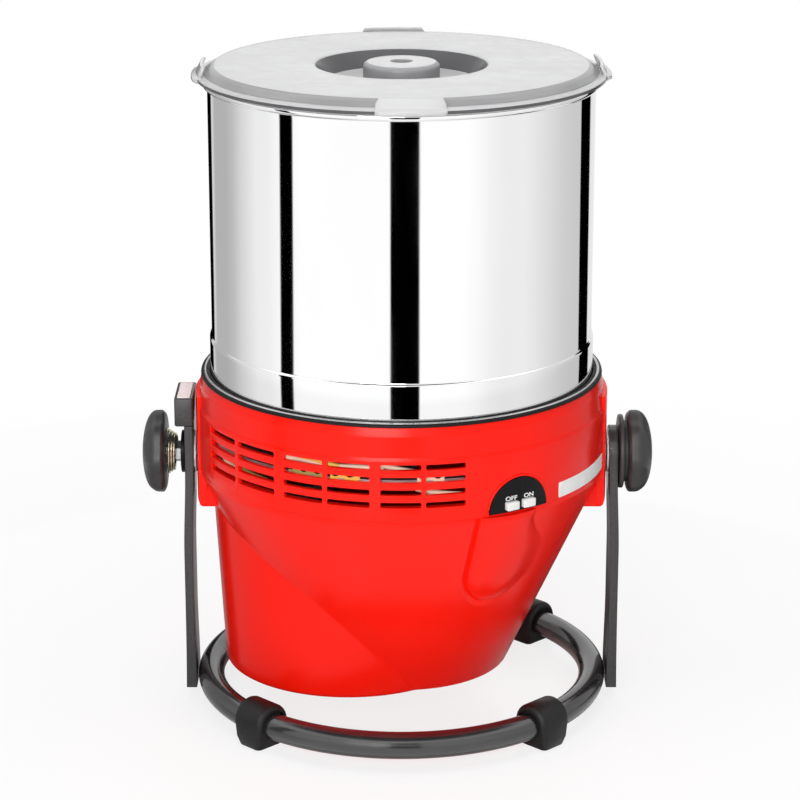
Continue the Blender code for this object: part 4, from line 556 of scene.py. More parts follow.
FINISH = {
    "red": surface(
        "red_gloss", (0.93, 0.01, 0.003), 0.22, spread=0.02, patch=12, grain=260, depth=0.006,
        uneven=0.03, specular=0.17),
    "dark": surface(
        "dark_coating", (0.025, 0.024, 0.025), 0.46, spread=0.34, patch=620, grain=1500,
        depth=0.05, uneven=0.06, coat=0.5),
    "tube": surface(
        "tube_coating", (0.016, 0.015, 0.016), 0.21, spread=0.16, patch=60, grain=1500,
        depth=0.01, uneven=0.04, coat=0.6, specular=0.8),
    "foot": surface(
        "foot_rubber", (0.007, 0.007, 0.007), 0.44, spread=0.18, patch=70, grain=1700, depth=0.05,
        uneven=0.08, specular=0.34),
    "rubber": surface(
        "soft_rubber", (0.006, 0.006, 0.006), 0.55, spread=0.2, patch=90, grain=1500, depth=0.04,
        uneven=0.06, specular=0.2),
    "pad": surface("pale_pad", (0.8, 0.72, 0.72), 0.5, spread=0.05, patch=120),
    "steel": surface(
        "steel", (0.56, 0.56, 0.57), 0.28, 1, spread=0.08, patch=90, grain=1200, depth=0.008,
        uneven=0.08),
    "zinc": surface(
        "yellow_zinc", (0.74, 0.71, 0.52), 0.24, 1, spread=0.22, patch=160, depth=0.01, uneven=0.1),
    "knob": surface(
        "knob_grey", (0.03, 0.029, 0.03), 0.4, spread=0.12, patch=70, grain=1700, depth=0.035,
        uneven=0.07),
    "black": surface(
        "black_plastic", (0.004, 0.004, 0.0045), 0.32, spread=0.25, patch=90, grain=1500,
        depth=0.02, uneven=0.06, specular=0.16),
    "white": surface(
        "white_plastic", (0.8, 0.8, 0.79), 0.32, spread=0.03, patch=90, grain=1300, depth=0.012),
    "pale_grey": surface(
        "pale_grey_plastic", (0.27, 0.27, 0.28), 0.42, spread=0.05, patch=80, depth=0.02),
    "cast": surface(
        "cast_aluminium", (0.52, 0.52, 0.53), 0.46, 1, spread=0.14, patch=70, grain=620,
        depth=0.08, uneven=0.12),
    "copper": surface(
        "copper", (0.72, 0.34, 0.13), 0.34, 1, spread=0.25, patch=150, grain=2600, depth=0.07,
        uneven=0.1, stretch=(0.1, 0.1, 1)),
    "laminations": surface(
        "laminations", (0.3, 0.3, 0.32), 0.46, 1, spread=0.2, patch=300, grain=1800, depth=0.08,
        stretch=(0.02, 0.02, 1)),
    "acetal": surface(
        "acetal", (0.74, 0.74, 0.71), 0.38, spread=0.04, patch=60, grain=1200, depth=0.02),
    "granite": stone("granite"),
    "cream": surface("cream_sleeve", (0.78, 0.66, 0.5), 0.5),
    "olive": surface("olive_sleeve", (0.33, 0.3, 0.08), 0.5),
    "amber": surface("amber_sleeve", (0.72, 0.5, 0.08), 0.5),
    "print": surface(
        "white_print", (0.86, 0.86, 0.85), 0.5, spread=0.03, patch=200, grain=1500, depth=0.005),
}


def mirror(name):
    """Polished drum steel with faint rolling lines and wipe marks."""
    made, tree, shader = nodes_of(name)
    shader.inputs["Metallic"].default_value = 1.0
    tone = noise(tree, 22, 2, 0.5, (1, 1, 0.25))
    tree.links.new(blended(tree, tone, ((0.3, (0.90, 0.90, 0.905)), (0.7, (0.93, 0.93, 0.93)))),
                   shader.inputs["Base Color"])
    tree.links.new(mapped(tree, noise(tree, 60, 4, 0.7, (1, 1, 0.15)), 0.025, 0.065),
                   shader.inputs["Roughness"])
    bumped(tree, shader, noise(tree, 240, 2, 0.5, (1, 1, 0.05)), 0.0006)
    return made


def frosted(name, colour, see_through=0.35):
    """Milky clear plastic of the lid, also made as a lighter copy for painted light and darker
    copies for painted shade.
    """
    made, tree, shader = nodes_of(name)
    darker = tuple(c * 0.92 for c in colour)
    tone = noise(tree, 30, 3)
    tree.links.new(blended(tree, tone, ((0.3, darker), (0.7, colour))),
                   shader.inputs["Base Color"])
    tree.links.new(mapped(tree, noise(tree, 90, 3, 0.6), 0.16, 0.26), shader.inputs["Roughness"])
    bumped(tree, shader, noise(tree, 500, 2), 0.012)
    shader.inputs["Transmission Weight"].default_value = see_through
    shader.inputs["IOR"].default_value = 1.45
    return made


FINISH["mirror"] = mirror("mirror_steel")
FINISH["clear"] = frosted("clear_plastic", (0.70, 0.70, 0.705))
# A lighter copy of the lid's plastic: painted light on the tabs and on the knob's top.
FINISH["milky"] = frosted("milky_plastic", (0.66, 0.66, 0.665), 0.2)
# Darker copies of the lid's plastic: painted shade on its wall, edge and well.
FINISH["smoke"] = frosted("painted_shade_plastic_wall", (0.34, 0.34, 0.345), 0.2)
FINISH["tint"] = frosted("painted_shade_plastic_edge", (0.11, 0.11, 0.115), 0.2)

# A finish has the slot named like its material, apart from these
SLOTS = {finish: made.name for finish, made in FINISH.items()}
SLOTS.update(red="red_housing", tube="dark_coating", print="white_plastic", cream="copper",
             olive="copper", amber="copper", milky="clear_plastic", smoke="clear_plastic",
             tint="clear_plastic")


def place(obj, finish, node, replace=True):
    """Give a piece its finish and let it ride with the solid it stands for or sits on."""
    obj.data.materials.clear()
    obj.data.materials.append(FINISH[finish])
    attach(obj, NODES[node]["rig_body"])
    if replace:
        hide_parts(node)


# Stand


def make_stand():
    tube = oval(RING, RING_HEIGHT, RING_TUBE, RING_TUBE, 40)
    place(turned("ring_tube", tube, 288), "tube", "stand_ring")
    for name, azimuth in FEET:
        make_foot(name, azimuth)
    for word, side, top, corner in UPRIGHTS:
        make_upright(word, side, top, corner)
    make_stop_block()


def make_foot(name, azimuth):
    """Arched rubber sleeve on the ring, with a shallow recess round the tube at each end."""
    outline = filleted([(-FOOT_HALF, 6, 2), (-10.5, 0, 2), (10.5, 0, 2), (FOOT_HALF, 6, 2)],
                       closed=False, steps=5)
    outline += arc(0, FOOT_TOP - FOOT_HALF, FOOT_HALF, 0, 180, 32)
    half = FOOT_LENGTH / 2
    rings = []
    for share, inset in FOOT_ENDS + tuple((-share, inset) for share, inset in FOOT_ENDS[::-1]):
        scale = 1 - inset / FOOT_HALF
        ring = []
        for y, z in outline:
            tuck = FOOT_TUCK * smoothstep((11 - z) / 11)
            if z > 2:
                z = (z - RING_HEIGHT) * scale + RING_HEIGHT
            ring.append((y * scale, z, -(half - tuck) * share))
        rings.append(ring)
    frame_at = facing(azimuth, RING, 0) @ Matrix.Rotation(radians(90), 4, "Y")
    foot = skin("foot_" + name + "_sleeve", rings, matrix=frame_at, angle=50)
    recesses = []
    for side in (-1, 1):
        ends = []
        for reach in (half - 1.6, half + 1.0):
            angle = radians(azimuth) + side * reach / RING
            ends.append([(r * sin(angle), -r * cos(angle), z)
                         for r, z in oval(RING, RING_HEIGHT, FOOT_RECESS, FOOT_RECESS, 48)])
        recesses.append(skin("recess", ends))
    cut(foot, *recesses)
    place(shade(foot, 50), "foot", "foot_" + name)


def below(z, gain, start, drop):
    """A gain that comes in from a height downward, over a drop."""
    return gain * smoothstep((start - z) / drop)


def make_upright(word, side, top, corner):
    """Flat bar from the ring to above the pivot, its outer face spreading downward."""
    low, half = UPRIGHT_LOW, UPRIGHT_HALF
    outline = filleted([(-half, low, 1), (half, low, 1), (half, top, corner),
                        (-half, top, corner)], steps=16)
    bar = prism("upright_" + word + "_bar", outline, 0, 1)

    def leaning(y, z, out):
        x = UPRIGHT_INNER + below(z, *UPRIGHT_LEAN) - below(z, *UPRIGHT_RETURN)
        if out > 0.5:
            x += UPRIGHT_SHEET + below(z, *UPRIGHT_SWELL)
        return side * x, y, z

    bend(bar, [low + 4 * step for step in range(1, 42)], (0, 1, 0), leaning)
    hole = turned("hole", [(0, 120), (UPRIGHT_HOLE, 120), (UPRIGHT_HOLE, 140), (0, 140)], 48,
                  along(side))
    cut(tidy_mesh(bar), hole)
    place(soften(bar, 0.7, 3, 50), "dark", "upright_" + word)


def make_stop_block():
    middle = (STOP[0] + STOP[1]) / 2
    layers = ((177.5, 0.7), (177.9, 0.25), (178.4, 0), (194.4, 0), (194.9, 0.25), (STOP_TOP, 0.7))
    rings = []
    for z, inset in layers:
        ring = []
        for x, y in rounded_box(*STOP, 1.2):
            ring.append((x + (inset if x < middle else -inset), y - copysign(inset, y), z))
        rings.append(ring)
    for z in (STOP_TOP, STOP_TOP - 0.9):
        rings.append([(x, y, z) for x, y in rounded_box(*STOP_RECESS, 1)])
    place(skin("stop_block_body", rings, angle=50), "dark", "stop_block")
    cushion = prism("stop_block_cushion", rounded_box(*STOP_PAD, 1), STOP_TOP - 0.8, STOP_TOP + 0.4)
    place(soften(cushion, 0.3, 3), "pad", "stop_block_pad")


# Pivots and hand knobs


def knob_rings(start, length, lobes=8, facets=192, steps=40):
    """Lobed grip with a domed outer face."""
    rings = []
    for step in range(steps + 1):
        share = step / steps
        over = max(0.0, share - DOME_SHARE) / (1 - DOME_SHARE)
        radius = KNOB * sqrt(1 - DOME_DEPTH * over ** 2.5)
        radius *= 1 - 0.14 * (1 - min(1.0, share / 0.16)) ** 2
        depth = 0.055 * smoothstep(share / 0.12) * smoothstep((1 - share) / 0.3)
        ring = []
        for facet in range(facets):
            angle = 2 * pi * facet / facets
            reach = radius * (1 + depth * (cos(lobes * angle) - 1) / 2)
            ring.append((reach * cos(angle), reach * sin(angle), start + length * share))
        rings.append(ring)
    return rings


def make_knobs():
    left = skin("lock_knob_grip", knob_rings(*LOCK_GRIP), matrix=along(-1), angle=50)
    place(left, "knob", "lock_knob_left")
    right = skin("clamp_knob_grip", knob_rings(*CLAMP_GRIP), matrix=along(1), angle=50)
    flange = turned("flange", filleted([
        (0, 132, 0), (22.5, 132, 0.9), (22.5, 134.9, 0.9), (18.5, 134.9, 0.4),
        (18.5, 138, 0), (0, 138, 0)]), 192, along(1))
    cut(right, flange, operation="UNION")
    place(shade(right, 50), "knob", "clamp_knob_right")
    washer = filleted([(STUD_HOLE, 131.5, 0), (13, 131.5, 0.5), (13, 133.9, 0.5),
                       (STUD_HOLE, 133.9, 0)])
    place(turned("clamp_washer_disc", washer, 96, along(-1)), "black", "clamp_washer_left")
    points = []
    steps = 280
    for step in range(steps + 1):
        share = step / steps
        angle = 2 * pi * SPRING_CURLS * share
        radius, out = (a + (b - a) * share for a, b in zip(SPRING_START, SPRING_END))
        points.append((radius * cos(angle), radius * sin(angle), out))
    place(wire("lock_spring_wire", points, 0.75, along(-1)), "zinc", "lock_spring")


def wire(name, points, radius, matrix=None):
    """A round wire along points, as a mesh."""
    circle = oval(0, 0, 1, 1, 16)
    rings = []
    for index, point in enumerate(points):
        ahead = Vector(points[min(index + 1, len(points) - 1)])
        behind = Vector(points[max(index - 1, 0)])
        along_wire = (ahead - behind).normalized()
        side = along_wire.cross(Vector((0, 0, 1)))
        if side.length < 0.1:
            side = along_wire.cross(Vector((0, 1, 0)))
        side.normalize()
        up = side.cross(along_wire)
        rings.append([tuple(Vector(point) + (side * a + up * b) * radius) for a, b in circle])
    return skin(name, rings, matrix=matrix, angle=60)


# Housing


def lug_block(name, inner, outer, low, high, side):
    """Block curved round the housing's side, as wide as the pad on a lug."""
    middle = 0 if side > 0 else 180
    outline = arc(0, 0, outer, middle - LUG_PAD_ANGLE, middle + LUG_PAD_ANGLE, 24)
    outline += arc(0, 0, inner, middle + LUG_PAD_ANGLE, middle - LUG_PAD_ANGLE, 24)
    return prism(name, outline, low, high)


def make_slots():
    """Cutters for the rows of vents."""
    tools = []
    half_rib = degrees(RIB / BAND) / 2
    for first, last in VENTS:
        middle = (first + last) / 2
        for start, end in ((first, middle - half_rib), (middle + half_rib, last)):
            chord = BAND * sin(radians(end - start) / 2)
            outline = rounded_box(-chord, chord, -SLOT_HEIGHT / 2, SLOT_HEIGHT / 2, 0.9, 3)
            for row in SLOT_ROWS:
                tools.append(prism("slot", outline, -6, 6, facing((start + end) / 2, BAND, row)))
    return tools


def trim_lugs(collar):
    """Cut the collar's lower edge and round the feet of its lugs."""
    narrow = LUG_HALF - LUG_TAPER
    edge = filleted([
        (-140, BAND_LOW, 0), (-LUG_HALF, BAND_LOW, 2.5), (-narrow, LUG_FOOT, 4),
        (narrow, LUG_FOOT, 4), (LUG_HALF, BAND_LOW, 2.5), (140, BAND_LOW, 0), (140, 100, 0),
        (-140, 100, 0)], steps=6)
    side_view = Matrix(((0, 0, 1, 0), (1, 0, 0, 0), (0, 1, 0, 0), (0, 0, 0, 1)))
    cut(collar, prism("below", edge, -140, 140, side_view))
    middle = (LUG_PAD - LUG_ROUND, LUG_FOOT + LUG_ROUND)
    foot_edge = [(middle[0], LUG_FOOT - 3), (LUG_PAD + 3, LUG_FOOT - 3), (LUG_PAD + 3, middle[1])]
    foot_edge += arc(*middle, LUG_ROUND, 0, -90, 8)
    cut(collar, turned("foot_edge", foot_edge, 240))


def make_collar():
    """Red upper moulding: drum mouth, vent band and the two pivot lugs."""
    low = LUG_FOOT - 6
    profile = filleted([
        (116.2, BAND_TOP, 0.75), (120.1, BAND_TOP - 0.75, 3), (121.6, 204, 3),
        (BAND - 0.8, LEDGE, 1.2), (BAND, LEDGE - 2, 1.2), (BAND, low, 0), (BAND_INNER, low, 0),
        (BAND_INNER, 204, 0), (118.6, BAND_TOP - 2.6, 0), (116.2, BAND_TOP - 2.6, 0)], steps=5)
    collar = turned("collar_moulding", profile, 360)
    pads = []
    for side in (-1, 1):
        pads.append(lug_block("pad", 121.4, LUG_PAD, low - 1, LUG_PAD_TOP, side))
        pads.append(lug_block("core", LUG_CORE, 121.8, low - 2, LUG_CORE_TOP, side))
    cut(collar, *pads, operation="UNION")
    trim_lugs(collar)
    tools = make_slots()
    opening = SWITCH_RADIUS + SWITCH_PLAY
    panel = [(-opening, -SWITCH_PLAY), (opening, -SWITCH_PLAY)]
    panel += arc(0, 0, opening, 0, 180, 40)[1:-1]
    tools.append(prism("switch", panel, -12, 12, facing(SWITCH_AZIMUTH, BAND, SWITCH_LOW)))
    tools.append(turned("gland", [(0, -6), (GLAND_HOLE, -6), (GLAND_HOLE, 6), (0, 6)], 48,
                        facing(180, BAND, GLAND_HEIGHT)))
    for side in (-1, 1):
        tools.append(turned("stud", [(0, 114), (STUD_HOLE, 114), (STUD_HOLE, 130), (0, 130)], 48,
                            along(side)))
    cut(collar, *tools)
    place(soften(tidy_mesh(collar), 0.4, 3, 38), "red", "upper_housing")


def make_seal():
    """Black seal that rises beside the drum and caps the collar's rim, with a thin bright steel
    ring along it as a painted highlight.
    """
    profile = filleted([
        (115.55, 203, 0), (118.2, 203, 0), (118.2, 208, 0), (116.1, 208, 0), (116.1, 210.7, 0),
        (119.8, 210.4, 0), (120.6, 209.3, 0), (121.0, 209.4, 0.2), (120.7, 210.6, 0.5),
        (119.5, 211.2, 0.6), (115.55, 211.3, 0.4)], steps=4)
    place(turned("seal_lip", profile, 288, angle=50), "rubber", "dust_seal")
    # A thin steel ring along the rim: a painted highlight.
    highlight_section = oval(118.5, 211.1, 0.85, 0.6, 16)
    place(turned("seal_painted_highlight", highlight_section, 288), "steel", "dust_seal", replace=False)


def make_leads():
    """Sleeved motor leads that show through the vents, tied round the inside of the band."""
    steps = 48
    for name, finish, first, last, high, low, phase in LEADS:
        points = []
        for step in range(steps + 1):
            share = step / steps
            azimuth = radians(first + (last - first) * share)
            sway = 0.6 * sin(19 * azimuth + phase)
            reach = LEAD_REACH + 0.4 * sin(29 * azimuth)
            points.append((reach * sin(azimuth), -reach * cos(azimuth),
                           high + (low - high) * share + sway))
        place(wire("lead_" + name, points, LEAD), finish, "chassis", replace=False)
    for finish, azimuth, half in TAPES:
        lower = [(x, 1.1 * sin(0.5 * x + half)) for x in range(-half, half + 1)]
        upper = [(x, 2.6 + 0.9 * sin(0.7 * x + half)) for x in range(half, -half - 1, -1)]
        tape = bent_plate("lead_tape_" + finish, lower + upper, -3.25, -3.05, azimuth,
                          TAPE_HEIGHT, edge=0)
        place(tape, finish, "chassis", replace=False)


def smooth_max(a, b, width):
    overlap = max(width - abs(a - b), 0.0) / width
    return max(a, b) + overlap * overlap * width / 4


def shoulder(azimuth, z):
    """Flank of the can that leans out towards a pivot lug, as a gain in the can's radius."""
    turn = min(SHOULDER_SPAN, abs(degrees(azimuth) + 90) - SHOULDER_START)
    above = z - min(SHOULDER_TOP, SHOULDER_FOOT - SHOULDER_FALL * turn)
    if above > SHOULDER_BLEND:
        return SHOULDER_LEAN * above
    into = max(0.0, above + SHOULDER_BLEND)
    return SHOULDER_LEAN * into ** 2 / (4 * SHOULDER_BLEND)


def body_radius(azimuth, z):
    """Reach of the lower body from the drum's axis, the cone and the motor can blended."""
    cone = min(CONE + CONE_SLOPE * (z - LEVEL), LIP)
    centre = CAN_X * sin(azimuth)
    rho = CAN + CAN_SLOPE * (z - LEVEL) + shoulder(azimuth, z)
    can = centre + sqrt(max(0.0, rho * rho - (CAN_X * CAN_X - centre * centre)))
    return smooth_max(cone, can, CREASE)


def finger(azimuth, z):
    """Rise of the rounded boss below the switch: a crisp left edge and a fading right one."""
    fade = smoothstep((BOSS_TOP - z) / BOSS_FADE)
    across = degrees(azimuth) - BOSS_AZIMUTH
    across /= BOSS_LEFT if across < 0 else BOSS_RIGHT + BOSS_SPREAD * fade
    down = max(0.0, (BOSS_FOOT - z) / BOSS_ROUND)
    room = 1 - across * across - down * down
    if room <= 0:
        beside = sqrt(across * across + down * down) - 1
        left = smoothstep(0.35 - across / 0.9)
        return -GROOVE * max(0.0, 1 - beside / GROOVE_SHARE) * left
    power = 0.5 + 1.2 * fade * smoothstep((across - 0.1) / 0.7)
    return BOSS_RISE * room ** power


def body_section(turn, rows=128):
    """Half section of the lower body at an azimuth: the outside upward, the inside down."""
    azimuth = radians(turn)
    sine, cosine = sin(azimuth), cos(azimuth)
    base = body_radius(azimuth, FLOOR)
    slope = (body_radius(azimuth, FLOOR + 2) - base) / 2
    centre = base + slope * FLOOR_CORNER - FLOOR_CORNER * sqrt(1 + slope * slope)
    outer = [(centre * k / 8, FLOOR) for k in range(9)]
    outer += arc(centre, FLOOR + FLOOR_CORNER, FLOOR_CORNER, -90,
                 -degrees(atan(slope)), 14)[1:]
    start = outer[-1][1]
    for row in range(1, rows + 1):
        z = start + (SEAM - start) * row / rows
        reach = min(LIP, body_radius(azimuth, z)) + finger(azimuth, z)
        if abs(BAND * cosine) < LUG_HALF - 1.5 and z > LUG_FOOT:
            reach = min(reach, SPIGOT)
        outer.append((reach, z))
    outer += [(SPIGOT, SEAM), (SPIGOT, SPIGOT_TOP)]
    inner = [(SPIGOT - WALL, SPIGOT_TOP)]
    for row in range(24):
        z = SPIGOT_TOP - 0.5 + (FLOOR + WALL + 1.5 - SPIGOT_TOP) * row / 23
        inner.append((min(SPIGOT - WALL, body_radius(azimuth, z) - WALL), z))
    inner += [(inner[-1][0] - 1, FLOOR + WALL), (0, FLOOR + WALL)]
    return [(r * sine, -r * cosine, z) for r, z in outer + inner]


def make_body():
    """Red lower moulding, with a row of air slots under the motor."""
    sections = []
    for first, last, step in BODY_TURNS:
        for index in range(round((last - first) / step)):
            sections.append(body_section(first + step * index))
    body = skin_round("body_moulding", sections, closed=False, dist=0.01, angle=30)
    slots = []
    for index in range(AIR_SLOTS):
        x = AIR_SLOT_X + AIR_SLOT_PITCH * (index - AIR_SLOTS // 2)
        slots.append(prism("slot", rounded_box(*AIR_SLOT, 1.4), FLOOR - 6, FLOOR + 6,
                           Matrix.Translation((x, 0, 0))))
    cut(body, *slots)
    place(shade(body, 30), "red", "lower_housing")


# Switch


def bent_plate(name, outline, low, high, azimuth=SWITCH_AZIMUTH, height=SWITCH_LOW, edge=0.3,
               holes=()):
    """A flat outline bent round the band, its face and back at two distances from it."""
    plate = prism(name, outline, low, high)
    if holes:
        cut(plate, *[prism("hole", hole, low - 5, high + 5) for hole in holes])
    if edge:
        soften(plate, edge, 3, 50)
    reach = int(max(abs(x) for x, _ in outline))
    bend(plate, range(-reach, reach + 1), (1, 0, 0),
         lambda x, y, out: wrapped(x, y, out, azimuth, height))
    return shade(plate, 40)


def key_outline(side, base, play, radius, steps=4):
    """Outline of a key's face, or of its window where there is play round it."""
    middle, half = side * KEY_OFFSET, KEY_SIZE[0] / 2 + play
    return rounded_box(middle - half, middle + half, base - play, base + KEY_SIZE[1] + play,
                       radius, steps)


def make_switch():
    outline = filleted([(-SWITCH_RADIUS, 0, 0.8), (SWITCH_RADIUS, 0, 0.8)] + [
        (x, y, 0) for x, y in arc(0, 0, SWITCH_RADIUS, 0, 180, 48)[1:-1]], steps=3)
    windows = [key_outline(side, KEY_LOW - SWITCH_LOW, KEY_PLAY, 0.5, 3) for side in (-1, 1)]
    place(bent_plate("switch_panel_face", outline, -3, 1.0, edge=0.35, holes=windows), "black",
          "switch_panel")
    for side, word in ((-1, "off"), (1, "on")):
        key = prism("key_" + word + "_cap", key_outline(side, 0, 0, 0.7), KEY_FACE - KEY_DEPTH,
                    KEY_FACE, facing(SWITCH_AZIMUTH, BAND, KEY_LOW))
        place(soften(key, 0.45, 3, 50), "white", "key_" + word)
        lettering(word, side * LETTERS[0], LETTERS[1])
    rim = [wrapped(x, y, 0.1) for x, y in arc(0, 0, SWITCH_RADIUS + 0.9, -2, 182, 72)]
    place(wire("switch_rim", rim, 0.75), "red", "upper_housing", replace=False)


def lettering(word, x, y):
    """White generic lettering on the switch panel."""
    curve = bpy.data.curves.new("lettering_" + word, "FONT")
    curve.body = word.upper()
    curve.size = LETTER_SIZE
    curve.align_x = "CENTER"
    curve.extrude = 0.12
    curve.offset = 0.06
    obj = add("words", curve)
    mesh = evaluated_mesh(obj)
    bpy.data.objects.remove(obj, do_unlink=True)
    for vertex in mesh.vertices:
        spot = wrapped(vertex.co.x * LETTER_WIDTH + x, vertex.co.y + y, vertex.co.z + 1.05)
        vertex.co = [value * MM for value in spot]
    place(add("lettering_" + word, mesh), "print", "switch_panel", replace=False)


def make_label():
    """Blank white strip on the right of the band."""
    strip = bent_plate("label_strip", rounded_box(*LABEL, 0.8, 3), -0.2, 0.25, LABEL_AZIMUTH,
                       LABEL_HEIGHT, edge=0.1)
    place(strip, "print", "upper_housing", replace=False)


# Drum and lid


def make_drum():
    """Open steel drum with a rolled bead, a step near its foot and a bore for the pillar."""
    profile = [(DRUM_INNER, 380.0)] + arc(*DRUM_BEAD, 180, -105, 24)
    profile += [(DRUM, 382.6), (DRUM, 380.5)]
    profile += [(DRUM + out, DRUM_STEP + up) for out, up in STEP_CURVE]
    profile += [(SKIRT, 204)]
    profile += filleted([(SKIRT, 200, 0), (SKIRT, DRUM_LOW, 1.5), (109, DRUM_LOW, 0)],
                        closed=False)[1:]
    profile += [(109, 201.5), (DRUM_BORE, 201.5), (DRUM_BORE, DRUM_FLOOR)]
    profile += filleted([(DRUM_BORE, DRUM_FLOOR, 0), (DRUM_INNER, DRUM_FLOOR, 3),
                         (DRUM_INNER, 385, 0)], closed=False)[1:-1]
    place(turned("drum_shell", profile, 360, angle=50), "mirror", "drum")


def make_lid():
    """Clear lid with a well round its hole, and bands of painted shade in darker copies of its
    plastic.
    """
    under_well, under_top = WELL_FLOOR - 0.8, LID_TOP - LID_SHEET
    profile = filleted([
        (LID_FLANGE, LID_LOW, 0.6), (LID_FLANGE, LID_LOW + LID_SHEET, 0.6), (115.9, 391.2, 0.8),
        (LID_WALL, LID_TOP, 1.0), (WELL_TOP, LID_TOP, 1.6), (WELL, WELL_FLOOR, 0.6),
        (LID_HOLE, WELL_FLOOR, 0.4), (LID_HOLE, under_well, 0), (WELL + LID_SHEET, under_well, 0),
        (WELL_TOP + LID_SHEET, under_top, 1.2), (LID_WALL - LID_SHEET, under_top, 1.2),
        (111.2 - LID_SHEET, LID_LOW, 0)], steps=5)
    place(turned("lid_moulding", profile, 360, angle=40), "clear", "lid")
    # Bands in darker copies of the plastic: painted shade on the wall, edge and well.
    for name, finish, line, (aside, under) in LID_SHADE_BANDS:
        back = [(r + aside, z + under) for r, z in reversed(line)]
        place(turned("lid_" + name, list(line) + back, 360, angle=60), finish, "lid",
              replace=False)
    for index in range(4):
        make_tab(index)


def make_tab(index):
    """Raised lug on the lid's flange, to lift it by, in a lighter copy of the lid's plastic as a
    painted highlight.
    """
    section = filleted([
        (118, 389.35, 0), (120.4, 387.1, 0.4), (123.2, 388.5, 0.8), (123.2, 390.2, 0.8),
        (120.2, 391.6, 0.8), (117.8, 396.8, 0.6), (115.6, 396.8, 0.6), (118, 391.6, 0.4)],
        steps=3)
    rings = []
    for step in range(25):
        share = 2 * step / 24 - 1
        angle = radians(90 * index + TAB_TURN + TAB_SPAN * share)
        shrink = 1 - 0.35 * max(0.0, (abs(share) - 0.9) / 0.1) ** 2
        ring = []
        for point in section:
            r, z = (middle + (value - middle) * shrink for value, middle in zip(point, TAB_MIDDLE))
            ring.append((r * cos(angle), r * sin(angle), z))
        rings.append(ring)
    place(skin("lid_tab_" + str(index), rings, angle=45), "milky", "lid", replace=False)


def make_tension_knob():
    knob = filleted([
        (4.3, 382.4, 0), (22.5, 382.4, 2.3), (22.5, 396.0, 2.6), (6.2, 396.4, 1.2),
        (6.2, 393.4, 0.6), (0, 393.4, 0), (0, 388.3, 0), (4.3, 388.3, 0)], steps=6)
    place(turned("tension_knob_cap", knob, 128), "pale_grey", "tension_knob")
    # The knob's top in a lighter copy of the lid's plastic: painted light.
    face = filleted([(6.6, 396.2, 0), (20.4, 395.9, 0), (20.4, 396.3, 0.2), (6.6, 396.65, 0.2)])
    place(turned("tension_knob_painted_light_top", face, 128), "milky", "tension_knob", replace=False)


CARRIED = {
    "steel": ("centre_shaft", "motor_stud_front", "motor_stud_rear", "pivot_stud_left",
              "pivot_stud_right", "stud_nut_left", "roller_axle_left", "roller_axle_right",
              "tension_spring", "drum_pillar", "hub_bearing"),
    "cast": ("chassis", "motor_end_shield", "drum_drive_socket", "drive_pulley", "motor_pulley"),
    "laminations": ("motor_stator", "motor_rotor"),
    "copper": ("windings_upper", "windings_lower"),
    "rubber": ("cord_gland", "drive_belt"),
    "black": ("cooling_fan", "switch_body"),
    "white": ("pivot_bush_left", "pivot_bush_right", "thrust_washer_left", "thrust_washer_right"),
    "acetal": ("roller_holder", "scraper", "roller_bush_left", "roller_bush_right"),
    "granite": ("granite_base", "roller_left", "roller_right"),
}


def finish_carried():
    """Give every solid that stays its procedural finish."""
    for finish, names in CARRIED.items():
        for name in names:
            for slot in NODES[name].material_slots:
                slot.material = FINISH[finish]


# Studio


def area_light(name, place_at, target, size, power, shown_in_gloss):
    data = bpy.data.lights.new(name, "AREA")
    data.shape = "RECTANGLE"
    data.size, data.size_y = size
    data.energy = power
    obj = add(name, data)
    obj.location = place_at
    obj.rotation_euler = (Vector(target) - Vector(place_at)).to_track_quat("-Z", "Y").to_euler()
    obj.visible_glossy = shown_in_gloss


# Lamps: name, place, target and size in metres, power in watts, and whether gloss shows them
LAMPS = (
    ("key", (-0.3, -1.55, 0.72), (0, 0, 0.14), (0.7, 0.7), 14, True),
    ("fill", (0.12, -1.6, 0.75), (0, 0, 0.15), (0.8, 0.9), 7, False),
    ("back", (0.1, 1.6, 0.85), (0, 0, 0.15), (0.9, 0.9), 11, False),
    ("top", (0, 0, 1.45), (0, 0, 0.3), (0.9, 0.9), 12, False),
)
SOFT_LIGHT = 0.15

# Brightness of the tent round the machine, by azimuth in degrees
TENT = (
    (-180, 0.86), (-161, 0.8), (-160, 0), (-144, 0), (-142, 0.76), (-135, 0.47),
    (-118, 0.48), (-109, 0.55), (-101, 0.7), (-93, 0.81), (-86, 0.91), (-77, 0.93),
    (-71, 1), (-69.3, 1), (-68.7, 0), (-60.7, 0), (-60.1, 1.03), (-55, 1.09),
    (-6.1, 1.09), (-5.5, 0), (9.1, 0), (9.7, 1.09), (33, 1.09), (42, 1.03), (49, 0.955),
    (57, 0.912), (70, 0.91), (81, 0.82), (91, 0.745), (102, 0.67), (112, 0.64), (121.9, 0.63),
    (122.5, 0), (138.8, 0), (139.6, 0.82), (160, 0.88), (180, 0.86),
)

# Brightness of the ground near the machine, seen in gloss alone
GROUND = ((-180, 0.4), (-110, 0.4), (-60, 0.45), (-28, 0.95), (25, 0.95), (50, 0.75), (80, 0.6),
          (98, 0.06), (150, 0.06), (180, 0.4))

# Brightness of the sky where it is seen or mirrored, by the sine of the height angle
ZENITH = ((0, 1), (0.1, 1), (0.55, 0.75), (0.66, 1.3), (0.82, 1.5), (0.87, 0.12),
          (1, 0.08))

# Rows of the tent and of the ground cards: radius, height and share of the brightness
TENT_ROWS = ((620, 0, 0.9), (620, 84, 0.92), (620, 98, 1), (620, 460, 1))
GROUND_ROWS = ((128, 0.6, 1), (400, 0.6, 1))


